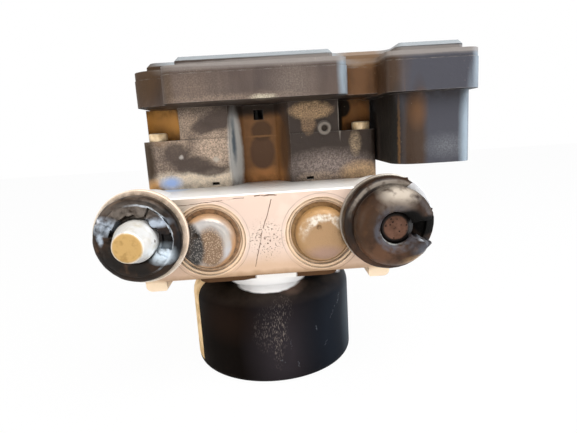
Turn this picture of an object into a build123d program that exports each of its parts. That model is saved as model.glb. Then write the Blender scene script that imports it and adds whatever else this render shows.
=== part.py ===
from build123d import *
import os
from math import cos, radians, sin

# Anti-lock brake hydraulic unit: valve block with a pump motor under it and a control unit on top.
# Millimetres. The origin is the middle of the motor's flat end, +Z is up, the front faces -Y.

# Valve block, a machined aluminium slab
BLOCK_WIDTH = 107.5
BLOCK_DEPTH = 88.0
BLOCK_THICKNESS = 36.0
BLOCK_EDGE_CHAMFER = 0.6
FOOT_WIDTH = 9.0
FOOT_DEPTH = 11.0
FOOT_HEIGHT = 4.2
FOOT_CORNER = 2.6
FOOT_NOTCH = 0.8
SLIDE_FIT = 0.03
PRESS_FIT = 0.02
SEAT_GAP = 0.1

# Motor can and its flange
MOTOR_RADIUS = 40.5
MOTOR_LENGTH = 54.0
CAN_WALL = 1.8
CAN_CORNER = 3.0
CAN_NECK_RADIUS = 31.5
CAN_SHOULDER_RADIUS = 9.0
CAN_NECK_LENGTH = 6.0
FLANGE_THICKNESS = 3.0
FLANGE_WIDTH = 62.0
FLANGE_DEPTH = 80.0
FLANGE_CORNER = 6.0
MOTOR_EAR_OFFSET = 46.0
MOTOR_EAR_RADIUS = 6.5
MOTOR_SCREW_RADIUS = 2.5
MOTOR_SCREW_HEAD_RADIUS = 3.6
MOTOR_SCREW_HEAD_HEIGHT = 3.6
MOTOR_SCREW_DEPTH = 6.0

# Rotor, shaft and bearings
SHAFT_RADIUS = 4.0
SHAFT_TIP_CLEARANCE = 0.5
ECCENTRICITY = 0.75
ECCENTRIC_RADIUS = 5.0
ECCENTRIC_RING_RADIUS = 9.0
BUSH_LENGTH = 6.0
BUSH_RADIUS = 7.0
BUSH_POT_WALL = 1.5
BEARING_RADIUS = 11.0
BEARING_WIDTH = 7.0
BEARING_RACE = 2.2
BALL_RADIUS = 1.9
BALL_COUNT = 7
ROTOR_RADIUS = 31.2
ROTOR_LENGTH = 21.0
ROTOR_BOTTOM = 13.5
ROTOR_SLOTS = 10
SLOT_WIDTH = 4.0
SLOT_DEPTH = 14.0
WINDING_OVERHANG = 3.2
WINDING_RADIUS = 27.5
MAGNET_COUNT = 4
MAGNET_ARC = 72.0
MAGNET_AIR_GAP = 0.8
MAGNET_BOTTOM = 11.0
MAGNET_LENGTH = 25.0
COMMUTATOR_RADIUS = 10.0
COMMUTATOR_LENGTH = 9.5
BRUSH_STAND_OFF = 2.2
COMMUTATOR_BARS = 10
BRUSH_PLATE_THICKNESS = 3.0
BRUSH_LENGTH = 8.0
BRUSH_WIDTH = 5.0
BRUSH_HEIGHT = 6.0
BRUSH_HOLDER_WALL = 1.0
BRUSH_SPRING_THICKNESS = 0.4
BRUSH_TRAVEL = 1.0
TERMINAL_RADIUS = 4.0
TERMINAL_Y = 22.1
TERMINAL_BLADE_WIDTH = 1.6
TERMINAL_BLADE_SPACING = 4.0

# Pump, on a cross bore through the block
PUMP_HEIGHT = 16.0
PUMP_BORE_RADIUS = 7.0
ECCENTRIC_CHAMBER_RADIUS = 12.5
ECCENTRIC_CHAMBER_HEIGHT = 15.0
PLUNGER_RADIUS = 4.0
PLUNGER_LENGTH = 26.0
PLUNGER_TRAVEL = 2 * ECCENTRICITY
SLEEVE_START = 20.0
PLUG_RADIUS = 8.0
PLUG_LENGTH = 8.25
PLUG_HEX_RADIUS = 3.6
PLUG_HEX_DEPTH = 4.0
PUMP_SPRING_WIRE = 0.9
PUMP_SPRING_TURNS = 5

# Low-pressure accumulators, in the block's front
ACCUMULATOR_X = 24.2
ACCUMULATOR_HEIGHT = 17.0
ACCUMULATOR_BORE_RADIUS = 11.5
ACCUMULATOR_BORE_DEPTH = 21.5
ACCUMULATOR_RING_RADIUS = 15.6
ACCUMULATOR_RING_DEPTH = 0.8
ACCUMULATOR_STEP_RADIUS = 14.2
ACCUMULATOR_STEP_DEPTH = 2.4
CAP_RADIUS = 11.5
CAP_FLANGE_RADIUS = 13.2
CAP_FLANGE_THICKNESS = 1.2
CAP_REACH = 5.0
CAP_SHOULDER = 3.6
CAP_WALL = 1.2
CAP_DIMPLE_RADIUS = 1.3
CAP_DIMPLE_PLACE = {"left": (-4.6, 3.4), "right": (-1.6, 3.6)}
PISTON_LENGTH = 10.0
PISTON_WALL = 2.2
PISTON_FLOOR = 3.0
PISTON_TRAVEL = 7.0
SEAL_GROOVE_WIDTH = 2.4
SEAL_GROOVE_DEPTH = 1.9
ACCUMULATOR_SPRING_WIRE = 1.8
ACCUMULATOR_SPRING_TURNS = 5

# Mounting pins and rubber mounts, standing out of the block's front corners
PIN_X = 50.3
PIN_HEIGHT = 22.2
EAR_RADIUS = 16.5
EAR_DEPTH = 16.0
PIN_THREAD_RADIUS = 4.0
PIN_THREAD_LENGTH = 18.0
PIN_SPACER_RADIUS = 7.5
WASHER_STAND_OFF = 5.5
WASHER_RADIUS = 19.3
WASHER_THICKNESS = 2.5
PIN_RADIUS = 8.3
PIN_SHOULDER_LENGTH = 9.0
PIN_REACH = {"left": 26.0, "right": 21.5}
PIN_END_RADIUS = {"left": 5.0, "right": 4.5}
RUBBER_GAP = 0.1
COLLAR_THICKNESS = 6.8
COLLAR_RADIUS = {"left": 17.4, "right": 18.9}
COLLAR_ROUNDING = 1.6
BOWL_RADIUS = 14.6
BOWL_DEPTH = 4.2
SLEEVE_WALL = 1.5
RAG_SPANS = [(140, 48), (22, 52), (-62, 42)]
DOME_RADIUS = 15.6
DOME_HEIGHT = 10.2
DOME_HOLE_RADIUS = 6.1
DOME_HOLLOW = 0.6
TEAR_ANGLES = (-29, 13)
TEAR_FLOOR = 2.5
COLLAR_LOSS_ANGLES = (16, 66)

# Solenoid valves, two rows of four
VALVE_PITCH_X = 20.4
VALVE_ROWS_Y = (12.8, 31.4)
VALVE_COLUMNS = 4
VALVE_BORE_RADIUS = 5.0
VALVE_BORE_DEPTH = 12.0
VALVE_FLANGE_RADIUS = 6.0
VALVE_FLANGE_HEIGHT = 1.2
VALVE_TUBE_RADIUS = 4.5
VALVE_TUBE_HEIGHT = 22.0
VALVE_TUBE_WALL = 0.9
VALVE_SEAT_HEIGHT = 3.0
VALVE_PORT_RADIUS = 1.0
ARMATURE_END_GAP = 0.6
ARMATURE_NOSE_RADIUS = 1.6
ARMATURE_NOSE_LENGTH = 4.0
COIL_RADIUS = 9.2
COIL_WAIST_RADIUS = 8.3
COIL_HEIGHT = 26.5
COIL_FLANGE = 2.4
COIL_STAND_OFF = 2.5
COIL_NECK_RADIUS = 4.0
CARRIER_PLATE = 2.0
LEAD_WIDTH = 0.8
LEAD_SPACING = 5.0

# Brake pipe ports, in the block's back
PORT_HEIGHT = 14.0
WHEEL_PORT_DEPTH = 12.0
WHEEL_SPOTFACE_DEPTH = 0.8
MASTER_PORT_DEPTH = 14.0
MASTER_SPOTFACE_DEPTH = 1.4
WHEEL_PORT_RADIUS = 4.5
WHEEL_PORT_SPOTFACE = 7.6
WHEEL_PORTS_X = (-25.5, -8.5, 8.5, 25.5)
MASTER_PORT_RADIUS = 5.5
MASTER_PORT_SPOTFACE = 8.6
MASTER_PORTS_X = (-43.0, 43.0)

# Control unit: coil box in two tiers, rim tray, cover and plug socket
BOX_WALL = 2.4
BOX_SETBACK = 33.0
LOWER_TIER_WIDTH = 112.4
LOWER_TIER_HEIGHT = 23.4
LOWER_TIER_CORNER = 2.5
UPPER_TIER_WIDTH = 110.0
UPPER_TIER_SETBACK = 0.4
UPPER_TIER_HEIGHT = 15.1
SCREW_X = 49.6
SCREW_FRONT_INSET = 4.5
SCREW_BACK_INSET = 6.0
SCREW_WELL_RADIUS = 8.7
SCREW_WELL_CENTRE = (47.0, 4.0)
BACK_WELL_RADIUS = 6.2
SCREW_RADIUS = 2.5
SCREW_HOLE_RADIUS = 2.8
SCREW_HEAD_RADIUS = 4.4
SCREW_HEAD_HEIGHT = 3.9
SCREW_SOCKET_RADIUS = 2.3
SCREW_SOCKET_DEPTH = 2.2
SCREW_BITE = 10.0
RECESS_CENTRE = -0.4
RECESS_MOUTH = 29.6
RECESS_FLOOR = 16.0
RECESS_DEPTH = 11.0
RECESS_WALL = 3.4
WINDOW_SIZE = 4.9
WINDOW_HEIGHT = 33.6
DRAIN_SLOT_X = 23.2
DRAIN_SLOT_WIDTH = 3.5
DRAIN_SLOT_HEIGHT = 1.4
DRAIN_SLOT_FLOOR = 0.9
PROBE_BOSS_X = 31.1
PROBE_BOSS_HEIGHT = 25.1
PROBE_BOSS_RADIUS = 3.0
PROBE_BOSS_RISE = 0.7
CAVITY_HALF_WIDTH = 42.0
SEAL_WIDTH = 1.6
SEAL_GROOVE_HEIGHT = 1.5
SEAL_HALF_WIDTH = 45.0
TRAY_HEIGHT = 11.3
TRAY_WALL = 2.2
TRAY_FLOOR = 2.2
TRAY_FRONT_HALF_WIDTH = 38.3
TRAY_LEFT = -53.4
TRAY_BACK_OVERHANG = 2.0
TRAY_STEP = 12.0
TRAY_CORNER = 6.0
TRAY_LEFT_CORNER = 11.0
TRAY_STEP_CORNER = 3.0
TRAY_LEAST_CORNER = 2.4
HEAD_LEFT = 52.0
HEAD_RIGHT = 91.0
HEAD_OVERHANG = 5.0
HEAD_DEPTH = 69.0
HEAD_DROP = 0.9
SHROUD_LEFT = 57.0
SHROUD_RIGHT = 89.0
SHROUD_SETBACK = 5.0
SHROUD_DEPTH = 58.0
SHROUD_HEIGHT = 29.6
SHROUD_WALL = 2.4
SHROUD_LARGE_CORNER = 11.0
SHROUD_SMALL_CORNER = 5.0
SHROUD_NOTCH_RISE = 5.0
SHROUD_NOTCH_RUN = 26.0
SOCKET_DEPTH = 24.0
PIN_TIP_INSET = 6.5
CONTACT_WIDTH = 0.7
CONTACT_PITCH = 4.0
CONTACT_ROWS_X = (-7.0, 0.0, 7.0)
CONTACTS_PER_ROW = 9
BLADE_WIDTH = 6.3
BLADE_THICKNESS = 0.9
BLADE_Y = (-14.0, 14.0)
COVER_EDGE = 3.4
COVER_INSET = 0.3
COVER_LIP_HEIGHT = 1.8
COVER_LIP_WIDTH = 1.4
COVER_LIP_GAP = 0.15
PLATEAU_INSET = 5.6
PLATEAU_RISE = 4.0
PLATEAU_CHAMFER = 1.6
COVER_WALL = 2.0
BOARD_STAND_OFF = 2.3
BOARD_THICKNESS = 1.6
BOARD_INSET = 3.2
BOARD_POST_RADIUS = 2.6
BOARD_POSTS = [(-46.0, -20.0), (-46.0, 41.0), (46.0, 41.0), (33.0, -38.0), (-33.0, -38.0), (84.0, -42.0), (84.0, 13.0)]

# Levels and planes worked out from the sizes above
BLOCK_BOTTOM = MOTOR_LENGTH
BLOCK_TOP = BLOCK_BOTTOM + BLOCK_THICKNESS
FRONT = -BLOCK_DEPTH / 2
BACK = BLOCK_DEPTH / 2
PUMP_Z = BLOCK_BOTTOM + PUMP_HEIGHT
BOX_FRONT = FRONT + BOX_SETBACK
LEDGE_Z = BLOCK_TOP + LOWER_TIER_HEIGHT
TRAY_Z = LEDGE_Z + UPPER_TIER_HEIGHT
RIM_Z = TRAY_Z + TRAY_HEIGHT
BOARD_Z = TRAY_Z + TRAY_FLOOR + BOARD_STAND_OFF
FLANGE_Z = BLOCK_BOTTOM - FLANGE_THICKNESS
RECESS_BACK = BOX_FRONT + RECESS_DEPTH
CAVITY_FRONT = RECESS_BACK + RECESS_WALL
CAVITY_BACK = BACK - RECESS_WALL + 0.4
SCREWS = [
    (side * SCREW_X, y)
    for y in (BOX_FRONT + SCREW_FRONT_INSET, BACK - SCREW_BACK_INSET)
    for side in (-1, 1)
]
VALVES = [
    (VALVE_PITCH_X * (column - (VALVE_COLUMNS - 1) / 2), y)
    for y in VALVE_ROWS_Y
    for column in range(VALVE_COLUMNS)
]
PLUNGER_START = ECCENTRIC_RING_RADIUS + ECCENTRICITY + SEAT_GAP
PLUG_START = BLOCK_WIDTH / 2 - PLUG_LENGTH
COMMUTATOR_Z = ROTOR_BOTTOM + ROTOR_LENGTH + WINDING_OVERHANG + SEAT_GAP
BRUSH_Z = COMMUTATOR_Z + BRUSH_STAND_OFF
BRUSH_PLATE_Z = BRUSH_Z + BRUSH_HEIGHT + BRUSH_HOLDER_WALL


def cylinder(radius, bottom, top, x=0.0, y=0.0):
    """An upright cylinder between two heights."""
    return Pos(x, y, bottom) * Cylinder(radius, top - bottom, align=(Align.CENTER, Align.CENTER, Align.MIN))


def block(x_range, y_range, z_range):
    """A box between two values on each axis."""
    size = [high - low for low, high in (x_range, y_range, z_range)]
    return Pos(x_range[0], y_range[0], z_range[0]) * Box(*size, align=(Align.MIN, Align.MIN, Align.MIN))


def rounded_face(corners):
    """A flat face from (x, y, radius) corners; a radius of 0 leaves a corner sharp."""
    face = make_face(Polyline([(x, y) for x, y, _ in corners], close=True))
    for x, y, radius in corners:
        if radius:
            corner = face.vertices().sort_by_distance(Vector(x, y, 0))[0]
            face = fillet(corner, radius)
    return face


def prism(face, bottom, top):
    """A flat face raised from one height to another."""
    return extrude(Pos(0, 0, bottom) * face, amount=top - bottom)


def turned(corners, arc=360.0, start=0.0):
    """A turned piece about Z from (radius, height, rounding) corners."""
    section = Plane.XZ * rounded_face(corners)
    return Rot(0, 0, start) * revolve(section, Axis.Z, revolution_arc=arc)


def sector(angles, inner, outer, bottom, top):
    """A wedge of a ring between two angles, for cutting rubber away."""
    first, last = angles
    middle = (first + last) / 2
    reach = outer / cos(radians((last - first) / 2)) + 1
    rays = [(reach * cos(radians(a)), reach * sin(radians(a))) for a in (first, middle, last)]
    wedge = prism(make_face(Polyline([(0, 0)] + rays, close=True)), bottom, top)
    return wedge - cylinder(inner, bottom, top) if inner else wedge


def front_place(x, z):
    """A place on the block's front whose own Z axis points out of the face."""
    return Pos(x, FRONT, z) * Rot(90, 0, 0)


def side_place(side, z):
    """A place on the motor axis whose own Z axis points to one side of the block."""
    return Pos(0, 0, z) * Rot(0, 90 * side, 0)


def spring(radius, wire, length, turns):
    """A compression spring of round wire, standing on its lower end at the origin."""
    path = Helix(pitch=(length - wire) / turns, height=length - wire, radius=radius)
    section = Plane(origin=path @ 0, z_dir=path % 0) * Circle(wire / 2)
    return Pos(0, 0, wire / 2) * sweep(section, path=path, is_frenet=True)


def save(name, shape):
    """Write one piece under its own name."""
    shape.label = name
    export_step(shape, f"parts/{name}.step")


# Valve block

def accumulator_bores():
    """The stepped bore of each accumulator, in the block's front."""
    cuts = Part()
    for side in (-1, 1):
        seat_depth = ACCUMULATOR_STEP_DEPTH + CAP_FLANGE_THICKNESS + SEAT_GAP
        bore = cylinder(ACCUMULATOR_BORE_RADIUS, -ACCUMULATOR_BORE_DEPTH, 0)
        bore += cylinder(ACCUMULATOR_RING_RADIUS, -ACCUMULATOR_RING_DEPTH, 0)
        bore += cylinder(ACCUMULATOR_STEP_RADIUS, -ACCUMULATOR_STEP_DEPTH, 0)
        bore += cylinder(CAP_FLANGE_RADIUS + SEAT_GAP, -seat_depth, 0)
        cuts += front_place(side * ACCUMULATOR_X, BLOCK_BOTTOM + ACCUMULATOR_HEIGHT) * bore
    return cuts


def pump_bores():
    """The cross bores for the two pump elements, and the chamber round the eccentric."""
    chamber_top = BLOCK_BOTTOM + BEARING_WIDTH + ECCENTRIC_CHAMBER_HEIGHT
    cuts = cylinder(BEARING_RADIUS + PRESS_FIT, BLOCK_BOTTOM, BLOCK_BOTTOM + BEARING_WIDTH)
    cuts += cylinder(ECCENTRIC_CHAMBER_RADIUS, BLOCK_BOTTOM + BEARING_WIDTH, chamber_top)
    for side in (-1, 1):
        bore = cylinder(PLUNGER_RADIUS + SLIDE_FIT, 0, SLEEVE_START)
        bore += cylinder(PUMP_BORE_RADIUS + PRESS_FIT, SLEEVE_START, PLUG_START)
        bore += cylinder(PLUG_RADIUS + PRESS_FIT, PLUG_START, BLOCK_WIDTH / 2)
        cuts += side_place(side, PUMP_Z) * bore
    return cuts


def pipe_ports():
    """The threaded holes for the brake pipes, each with a spotface."""
    cuts = Part()
    wheel = (WHEEL_PORT_RADIUS, WHEEL_PORT_DEPTH, WHEEL_PORT_SPOTFACE, WHEEL_SPOTFACE_DEPTH)
    master = (MASTER_PORT_RADIUS, MASTER_PORT_DEPTH, MASTER_PORT_SPOTFACE, MASTER_SPOTFACE_DEPTH)
    ports = [(x, wheel) for x in WHEEL_PORTS_X] + [(x, master) for x in MASTER_PORTS_X]
    for x, (radius, depth, spotface, spotface_depth) in ports:
        hole = cylinder(radius, 0, depth) + cylinder(spotface, depth - spotface_depth, depth)
        cuts += Pos(x, BACK - depth, BLOCK_BOTTOM + PORT_HEIGHT) * Rot(-90, 0, 0) * hole
    return cuts


def valve_block():
    half = BLOCK_WIDTH / 2
    body = block((-half, half), (FRONT, BACK), (BLOCK_BOTTOM, BLOCK_TOP))
    body = chamfer(body.edges(), BLOCK_EDGE_CHAMFER)
    for side in (-1, 1):
        ear = cylinder(EAR_RADIUS, -EAR_DEPTH, 0)
        body += front_place(side * PIN_X, BLOCK_BOTTOM + PIN_HEIGHT) * ear
        foot_x = side * (half - BLOCK_EDGE_CHAMFER - FOOT_WIDTH / 2)
        left_corner, right_corner = (FOOT_CORNER, FOOT_NOTCH) if side < 0 else (FOOT_NOTCH, FOOT_CORNER)
        foot_face = rounded_face([
            (foot_x - FOOT_WIDTH / 2, BLOCK_BOTTOM + 1, 0),
            (foot_x - FOOT_WIDTH / 2, BLOCK_BOTTOM - FOOT_HEIGHT, left_corner),
            (foot_x + FOOT_WIDTH / 2, BLOCK_BOTTOM - FOOT_HEIGHT, right_corner),
            (foot_x + FOOT_WIDTH / 2, BLOCK_BOTTOM + 1, 0),
        ])
        body += Pos(0, FRONT + BLOCK_EDGE_CHAMFER, 0) * extrude(Plane.XZ * foot_face, amount=-FOOT_DEPTH)
        body -= front_place(side * PIN_X, BLOCK_BOTTOM + PIN_HEIGHT) * cylinder(
            PIN_THREAD_RADIUS + PRESS_FIT, -PIN_THREAD_LENGTH, 0)
        body -= cylinder(MOTOR_SCREW_RADIUS + PRESS_FIT, BLOCK_BOTTOM, BLOCK_BOTTOM + MOTOR_SCREW_DEPTH,
                         side * MOTOR_EAR_OFFSET)
    body -= accumulator_bores() + pump_bores() + pipe_ports()
    body -= cylinder(TERMINAL_RADIUS + SEAT_GAP, BLOCK_BOTTOM, BLOCK_TOP, 0, TERMINAL_Y)
    for x, y in VALVES:
        body -= cylinder(VALVE_BORE_RADIUS + PRESS_FIT, BLOCK_TOP - VALVE_BORE_DEPTH, BLOCK_TOP, x, y)
    for x, y in SCREWS:
        body -= cylinder(SCREW_RADIUS + PRESS_FIT, BLOCK_TOP - SCREW_BITE - SEAT_GAP, BLOCK_TOP, x, y)
    return body


# Accumulators

def accumulator_cap(side):
    """A drawn steel cap with a rounded shoulder, a foot flange and a small dimple in its face."""
    flange_top = -ACCUMULATOR_STEP_DEPTH
    flange_bottom = flange_top - CAP_FLANGE_THICKNESS
    cap = turned([
        (0, CAP_REACH, 0),
        (CAP_RADIUS, CAP_REACH, CAP_SHOULDER),
        (CAP_RADIUS, flange_top, 0),
        (CAP_FLANGE_RADIUS, flange_top, 0),
        (CAP_FLANGE_RADIUS, flange_bottom, 0),
        (CAP_RADIUS - CAP_WALL, flange_bottom, 0),
        (CAP_RADIUS - CAP_WALL, CAP_REACH - CAP_WALL, CAP_SHOULDER - CAP_WALL),
        (0, CAP_REACH - CAP_WALL, 0),
    ])
    dimple_x, dimple_y = CAP_DIMPLE_PLACE[side]
    return cap - Pos(dimple_x, dimple_y, CAP_REACH + 0.6) * Sphere(CAP_DIMPLE_RADIUS)


def accumulator_piston():
    """A cup piston at the bottom of its bore, open to the front, with a groove for its seal."""
    bottom = -ACCUMULATOR_BORE_DEPTH + SEAT_GAP
    top = bottom + PISTON_LENGTH
    radius = ACCUMULATOR_BORE_RADIUS - SLIDE_FIT - SEAT_GAP / 4
    groove = bottom + PISTON_FLOOR
    return turned([
        (0, bottom, 0),
        (radius, bottom, 0.5),
        (radius, groove, 0),
        (radius - SEAL_GROOVE_DEPTH, groove, 0),
        (radius - SEAL_GROOVE_DEPTH, groove + SEAL_GROOVE_WIDTH, 0),
        (radius, groove + SEAL_GROOVE_WIDTH, 0),
        (radius, top, 0.5),
        (radius - PISTON_WALL, top, 0),
        (radius - PISTON_WALL, groove + SEAL_GROOVE_WIDTH + 1, 0),
        (radius - PISTON_WALL - 1, groove + SEAL_GROOVE_WIDTH, 0),
        (radius - PISTON_WALL - 1, groove, 0),
        (0, groove, 0),
    ])


def accumulator_seal():
    bottom = -ACCUMULATOR_BORE_DEPTH + SEAT_GAP + PISTON_FLOOR
    radius = ACCUMULATOR_BORE_RADIUS - SLIDE_FIT
    inner = ACCUMULATOR_BORE_RADIUS - SLIDE_FIT - SEAT_GAP / 4 - SEAL_GROOVE_DEPTH + PRESS_FIT
    return turned([
        (inner, bottom + PRESS_FIT, 0),
        (radius, bottom + PRESS_FIT, 0.7),
        (radius, bottom + SEAL_GROOVE_WIDTH - PRESS_FIT, 0.7),
        (inner, bottom + SEAL_GROOVE_WIDTH - PRESS_FIT, 0),
    ])


def accumulator_spring():
    """The spring between the cap's inside and the piston's floor."""
    floor = -ACCUMULATOR_BORE_DEPTH + SEAT_GAP + PISTON_FLOOR
    roof = CAP_REACH - CAP_WALL
    inner = ACCUMULATOR_BORE_RADIUS - SLIDE_FIT - SEAT_GAP / 4 - PISTON_WALL - 1
    radius = inner - ACCUMULATOR_SPRING_WIRE / 2 - 2 * SEAT_GAP
    length = roof - floor - 4 * SEAT_GAP
    return Pos(0, 0, floor + 2 * SEAT_GAP) * spring(radius, ACCUMULATOR_SPRING_WIRE, length, ACCUMULATOR_SPRING_TURNS)


# Mounting pins and rubber mounts

COLLAR_BOTTOM = WASHER_STAND_OFF + WASHER_THICKNESS
COLLAR_TOP = COLLAR_BOTTOM + COLLAR_THICKNESS


def mounting_pin(side):
    """A threaded pin with a spacer shoulder and a bullet-shaped head that carries the rubber."""
    reach = PIN_REACH[side]
    end = PIN_END_RADIUS[side]
    head_start = COLLAR_BOTTOM + PRESS_FIT
    return turned([
        (0, -PIN_THREAD_LENGTH + SEAT_GAP, 0),
        (PIN_THREAD_RADIUS, -PIN_THREAD_LENGTH + SEAT_GAP, 1.0),
        (PIN_THREAD_RADIUS, 0, 0),
        (PIN_SPACER_RADIUS, 0, 0),
        (PIN_SPACER_RADIUS, WASHER_STAND_OFF, 0),
        (PIN_THREAD_RADIUS, WASHER_STAND_OFF, 0),
        (PIN_THREAD_RADIUS, head_start, 0),
        (PIN_RADIUS, head_start, 0),
        (PIN_RADIUS, head_start + PIN_SHOULDER_LENGTH, 5.0),
        (end + 0.9, reach - 0.4, 0.7),
        (end, reach, 0),
        (0, reach, 0),
    ])


def isolator_washer():
    ring = cylinder(WASHER_RADIUS, WASHER_STAND_OFF, COLLAR_BOTTOM)
    ring = chamfer(ring.edges(), 0.4)
    return ring - cylinder(PIN_THREAD_RADIUS + SEAT_GAP, WASHER_STAND_OFF, COLLAR_BOTTOM)


def isolator_left():
    """The torn mount: the dome is gone, and a bowl with three rags is left inside the collar."""
    radius = COLLAR_RADIUS["left"]
    bore = PIN_RADIUS + RUBBER_GAP
    rubber = turned([
        (bore, COLLAR_BOTTOM, 0),
        (radius, COLLAR_BOTTOM, COLLAR_ROUNDING),
        (radius, COLLAR_TOP, COLLAR_ROUNDING),
        (BOWL_RADIUS, COLLAR_TOP, 0.8),
        (BOWL_RADIUS - 1.2, COLLAR_TOP - BOWL_DEPTH, 1.0),
        (bore + SLEEVE_WALL, COLLAR_TOP - BOWL_DEPTH, 0),
        (bore + SLEEVE_WALL, COLLAR_TOP - 1.0, 0.5),
        (bore, COLLAR_TOP - 1.0, 0),
    ])
    for start, span in RAG_SPANS:
        rubber += turned([
            (BOWL_RADIUS + 1.2, COLLAR_TOP, 0),
            (BOWL_RADIUS + 1.2, COLLAR_TOP - 2.2, 0),
            (BOWL_RADIUS - 1.6, COLLAR_TOP - 1.4, 0),
            (bore + SLEEVE_WALL + 0.7, COLLAR_TOP + 1.2, 0),
            (bore + SLEEVE_WALL + 0.7, COLLAR_TOP + 2.2, 0),
        ], span, start)
    return rubber


def isolator_right():
    """The domed mount, torn open from its hole to the edge, with part of its collar lost."""
    radius = COLLAR_RADIUS["right"]
    bore = PIN_RADIUS + RUBBER_GAP
    dome_top = COLLAR_TOP + DOME_HEIGHT
    rubber = turned([
        (bore, COLLAR_BOTTOM, 0),
        (radius, COLLAR_BOTTOM, COLLAR_ROUNDING),
        (radius, COLLAR_TOP, COLLAR_ROUNDING),
        (DOME_RADIUS - 1.2, COLLAR_TOP + 0.4, 0.8),
        (DOME_RADIUS, COLLAR_TOP + 2.0, 1.0),
        (DOME_RADIUS, dome_top, 6.4),
        (DOME_HOLE_RADIUS, dome_top - 0.6, 2.0),
        (DOME_HOLE_RADIUS, dome_top - 3.2, 0),
        (bore + DOME_HOLLOW, dome_top - 4.8, 0),
        (bore + DOME_HOLLOW, COLLAR_TOP + 2.0, 0),
        (bore, COLLAR_TOP + 1.0, 0),
    ])
    rubber -= sector(TEAR_ANGLES, 0, radius + 1, COLLAR_BOTTOM + TEAR_FLOOR, dome_top + 1)
    return rubber - sector(COLLAR_LOSS_ANGLES, DOME_RADIUS + 0.2, radius + 1, COLLAR_BOTTOM - 1, COLLAR_TOP + 1)


# Pump

def pump_sleeve():
    sleeve = cylinder(PUMP_BORE_RADIUS, SLEEVE_START + PRESS_FIT, PLUG_START - PRESS_FIT)
    sleeve -= cylinder(PLUNGER_RADIUS + SLIDE_FIT, SLEEVE_START, PLUG_START)
    groove = cylinder(PUMP_BORE_RADIUS + 1, 30.0, 33.0) - cylinder(PUMP_BORE_RADIUS - 1, 30.0, 33.0)
    return sleeve - groove


def pump_plunger():
    """A hardened plunger whose foot follows the eccentric's ring."""
    start = PLUNGER_START
    return turned([
        (0, start, 0),
        (PLUNGER_RADIUS, start, 0.6),
        (PLUNGER_RADIUS, start + PLUNGER_LENGTH, 0.4),
        (1.4, start + PLUNGER_LENGTH, 0),
        (1.4, start + PLUNGER_LENGTH - 9.0, 0),
        (0, start + PLUNGER_LENGTH - 9.0, 0),
    ])


def pump_spring():
    bottom = PLUNGER_START + PLUNGER_LENGTH + SEAT_GAP
    length = PLUG_START - bottom - SEAT_GAP
    radius = PLUNGER_RADIUS - PUMP_SPRING_WIRE / 2 - 2 * SEAT_GAP
    return Pos(0, 0, bottom) * spring(radius, PUMP_SPRING_WIRE, length, PUMP_SPRING_TURNS)


def pump_plug():
    """A screwed plug with a hexagon socket, flush with the block's side."""
    end = BLOCK_WIDTH / 2 - SEAT_GAP
    plug = cylinder(PLUG_RADIUS, PLUG_START + PRESS_FIT, end)
    plug = chamfer(plug.edges().sort_by(Axis.Z)[-1], 0.5)
    hexagon = RegularPolygon(PLUG_HEX_RADIUS, 6)
    return plug - prism(hexagon, end - PLUG_HEX_DEPTH, end)


# Motor

def motor_can():
    """A drawn steel can: flat end, rounded shoulder, neck and a flange with two screw ears."""
    shoulder_top = FLANGE_Z - CAN_NECK_LENGTH
    shoulder_bottom = shoulder_top - CAN_SHOULDER_RADIUS
    wall = CAN_WALL
    can = turned([
        (0, 0, 0),
        (MOTOR_RADIUS, 0, CAN_CORNER),
        (MOTOR_RADIUS, shoulder_top, CAN_SHOULDER_RADIUS - 0.1),
        (CAN_NECK_RADIUS, shoulder_top, 0),
        (CAN_NECK_RADIUS, FLANGE_Z + 1, 0),
        (CAN_NECK_RADIUS - wall, FLANGE_Z + 1, 0),
        (CAN_NECK_RADIUS - wall, shoulder_top - wall, 0),
        (MOTOR_RADIUS - wall, shoulder_top - wall, CAN_SHOULDER_RADIUS - wall),
        (MOTOR_RADIUS - wall, wall, CAN_CORNER - wall),
        (BUSH_RADIUS + BUSH_POT_WALL, wall, 0),
        (BUSH_RADIUS + BUSH_POT_WALL, wall + BUSH_LENGTH, 0),
        (BUSH_RADIUS, wall + BUSH_LENGTH, 0),
        (BUSH_RADIUS, wall, 0),
        (0, wall, 0),
    ])
    plate = RectangleRounded(FLANGE_WIDTH, FLANGE_DEPTH, FLANGE_CORNER)
    plate += Rectangle(2 * MOTOR_EAR_OFFSET, 2 * MOTOR_EAR_RADIUS)
    for side in (-1, 1):
        plate += Pos(side * MOTOR_EAR_OFFSET, 0) * Circle(MOTOR_EAR_RADIUS)
        plate -= Pos(side * MOTOR_EAR_OFFSET, 0) * Circle(MOTOR_SCREW_RADIUS + SEAT_GAP)
    plate -= Circle(CAN_NECK_RADIUS - wall)
    return can + prism(plate, FLANGE_Z, BLOCK_BOTTOM)


def motor_screw():
    head_bottom = FLANGE_Z - MOTOR_SCREW_HEAD_HEIGHT
    screw = cylinder(MOTOR_SCREW_HEAD_RADIUS, head_bottom, FLANGE_Z)
    screw += cylinder(MOTOR_SCREW_RADIUS, FLANGE_Z, BLOCK_BOTTOM + MOTOR_SCREW_DEPTH - SEAT_GAP)
    return screw - prism(RegularPolygon(SCREW_SOCKET_RADIUS, 6), head_bottom, head_bottom + SCREW_SOCKET_DEPTH)


def rear_bush():
    """A plain bearing bush in the pot of the can's closed end."""
    bush = cylinder(BUSH_RADIUS - PRESS_FIT, CAN_WALL + PRESS_FIT, CAN_WALL + BUSH_LENGTH)
    return bush - cylinder(SHAFT_RADIUS + SLIDE_FIT, CAN_WALL, CAN_WALL + BUSH_LENGTH)


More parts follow.
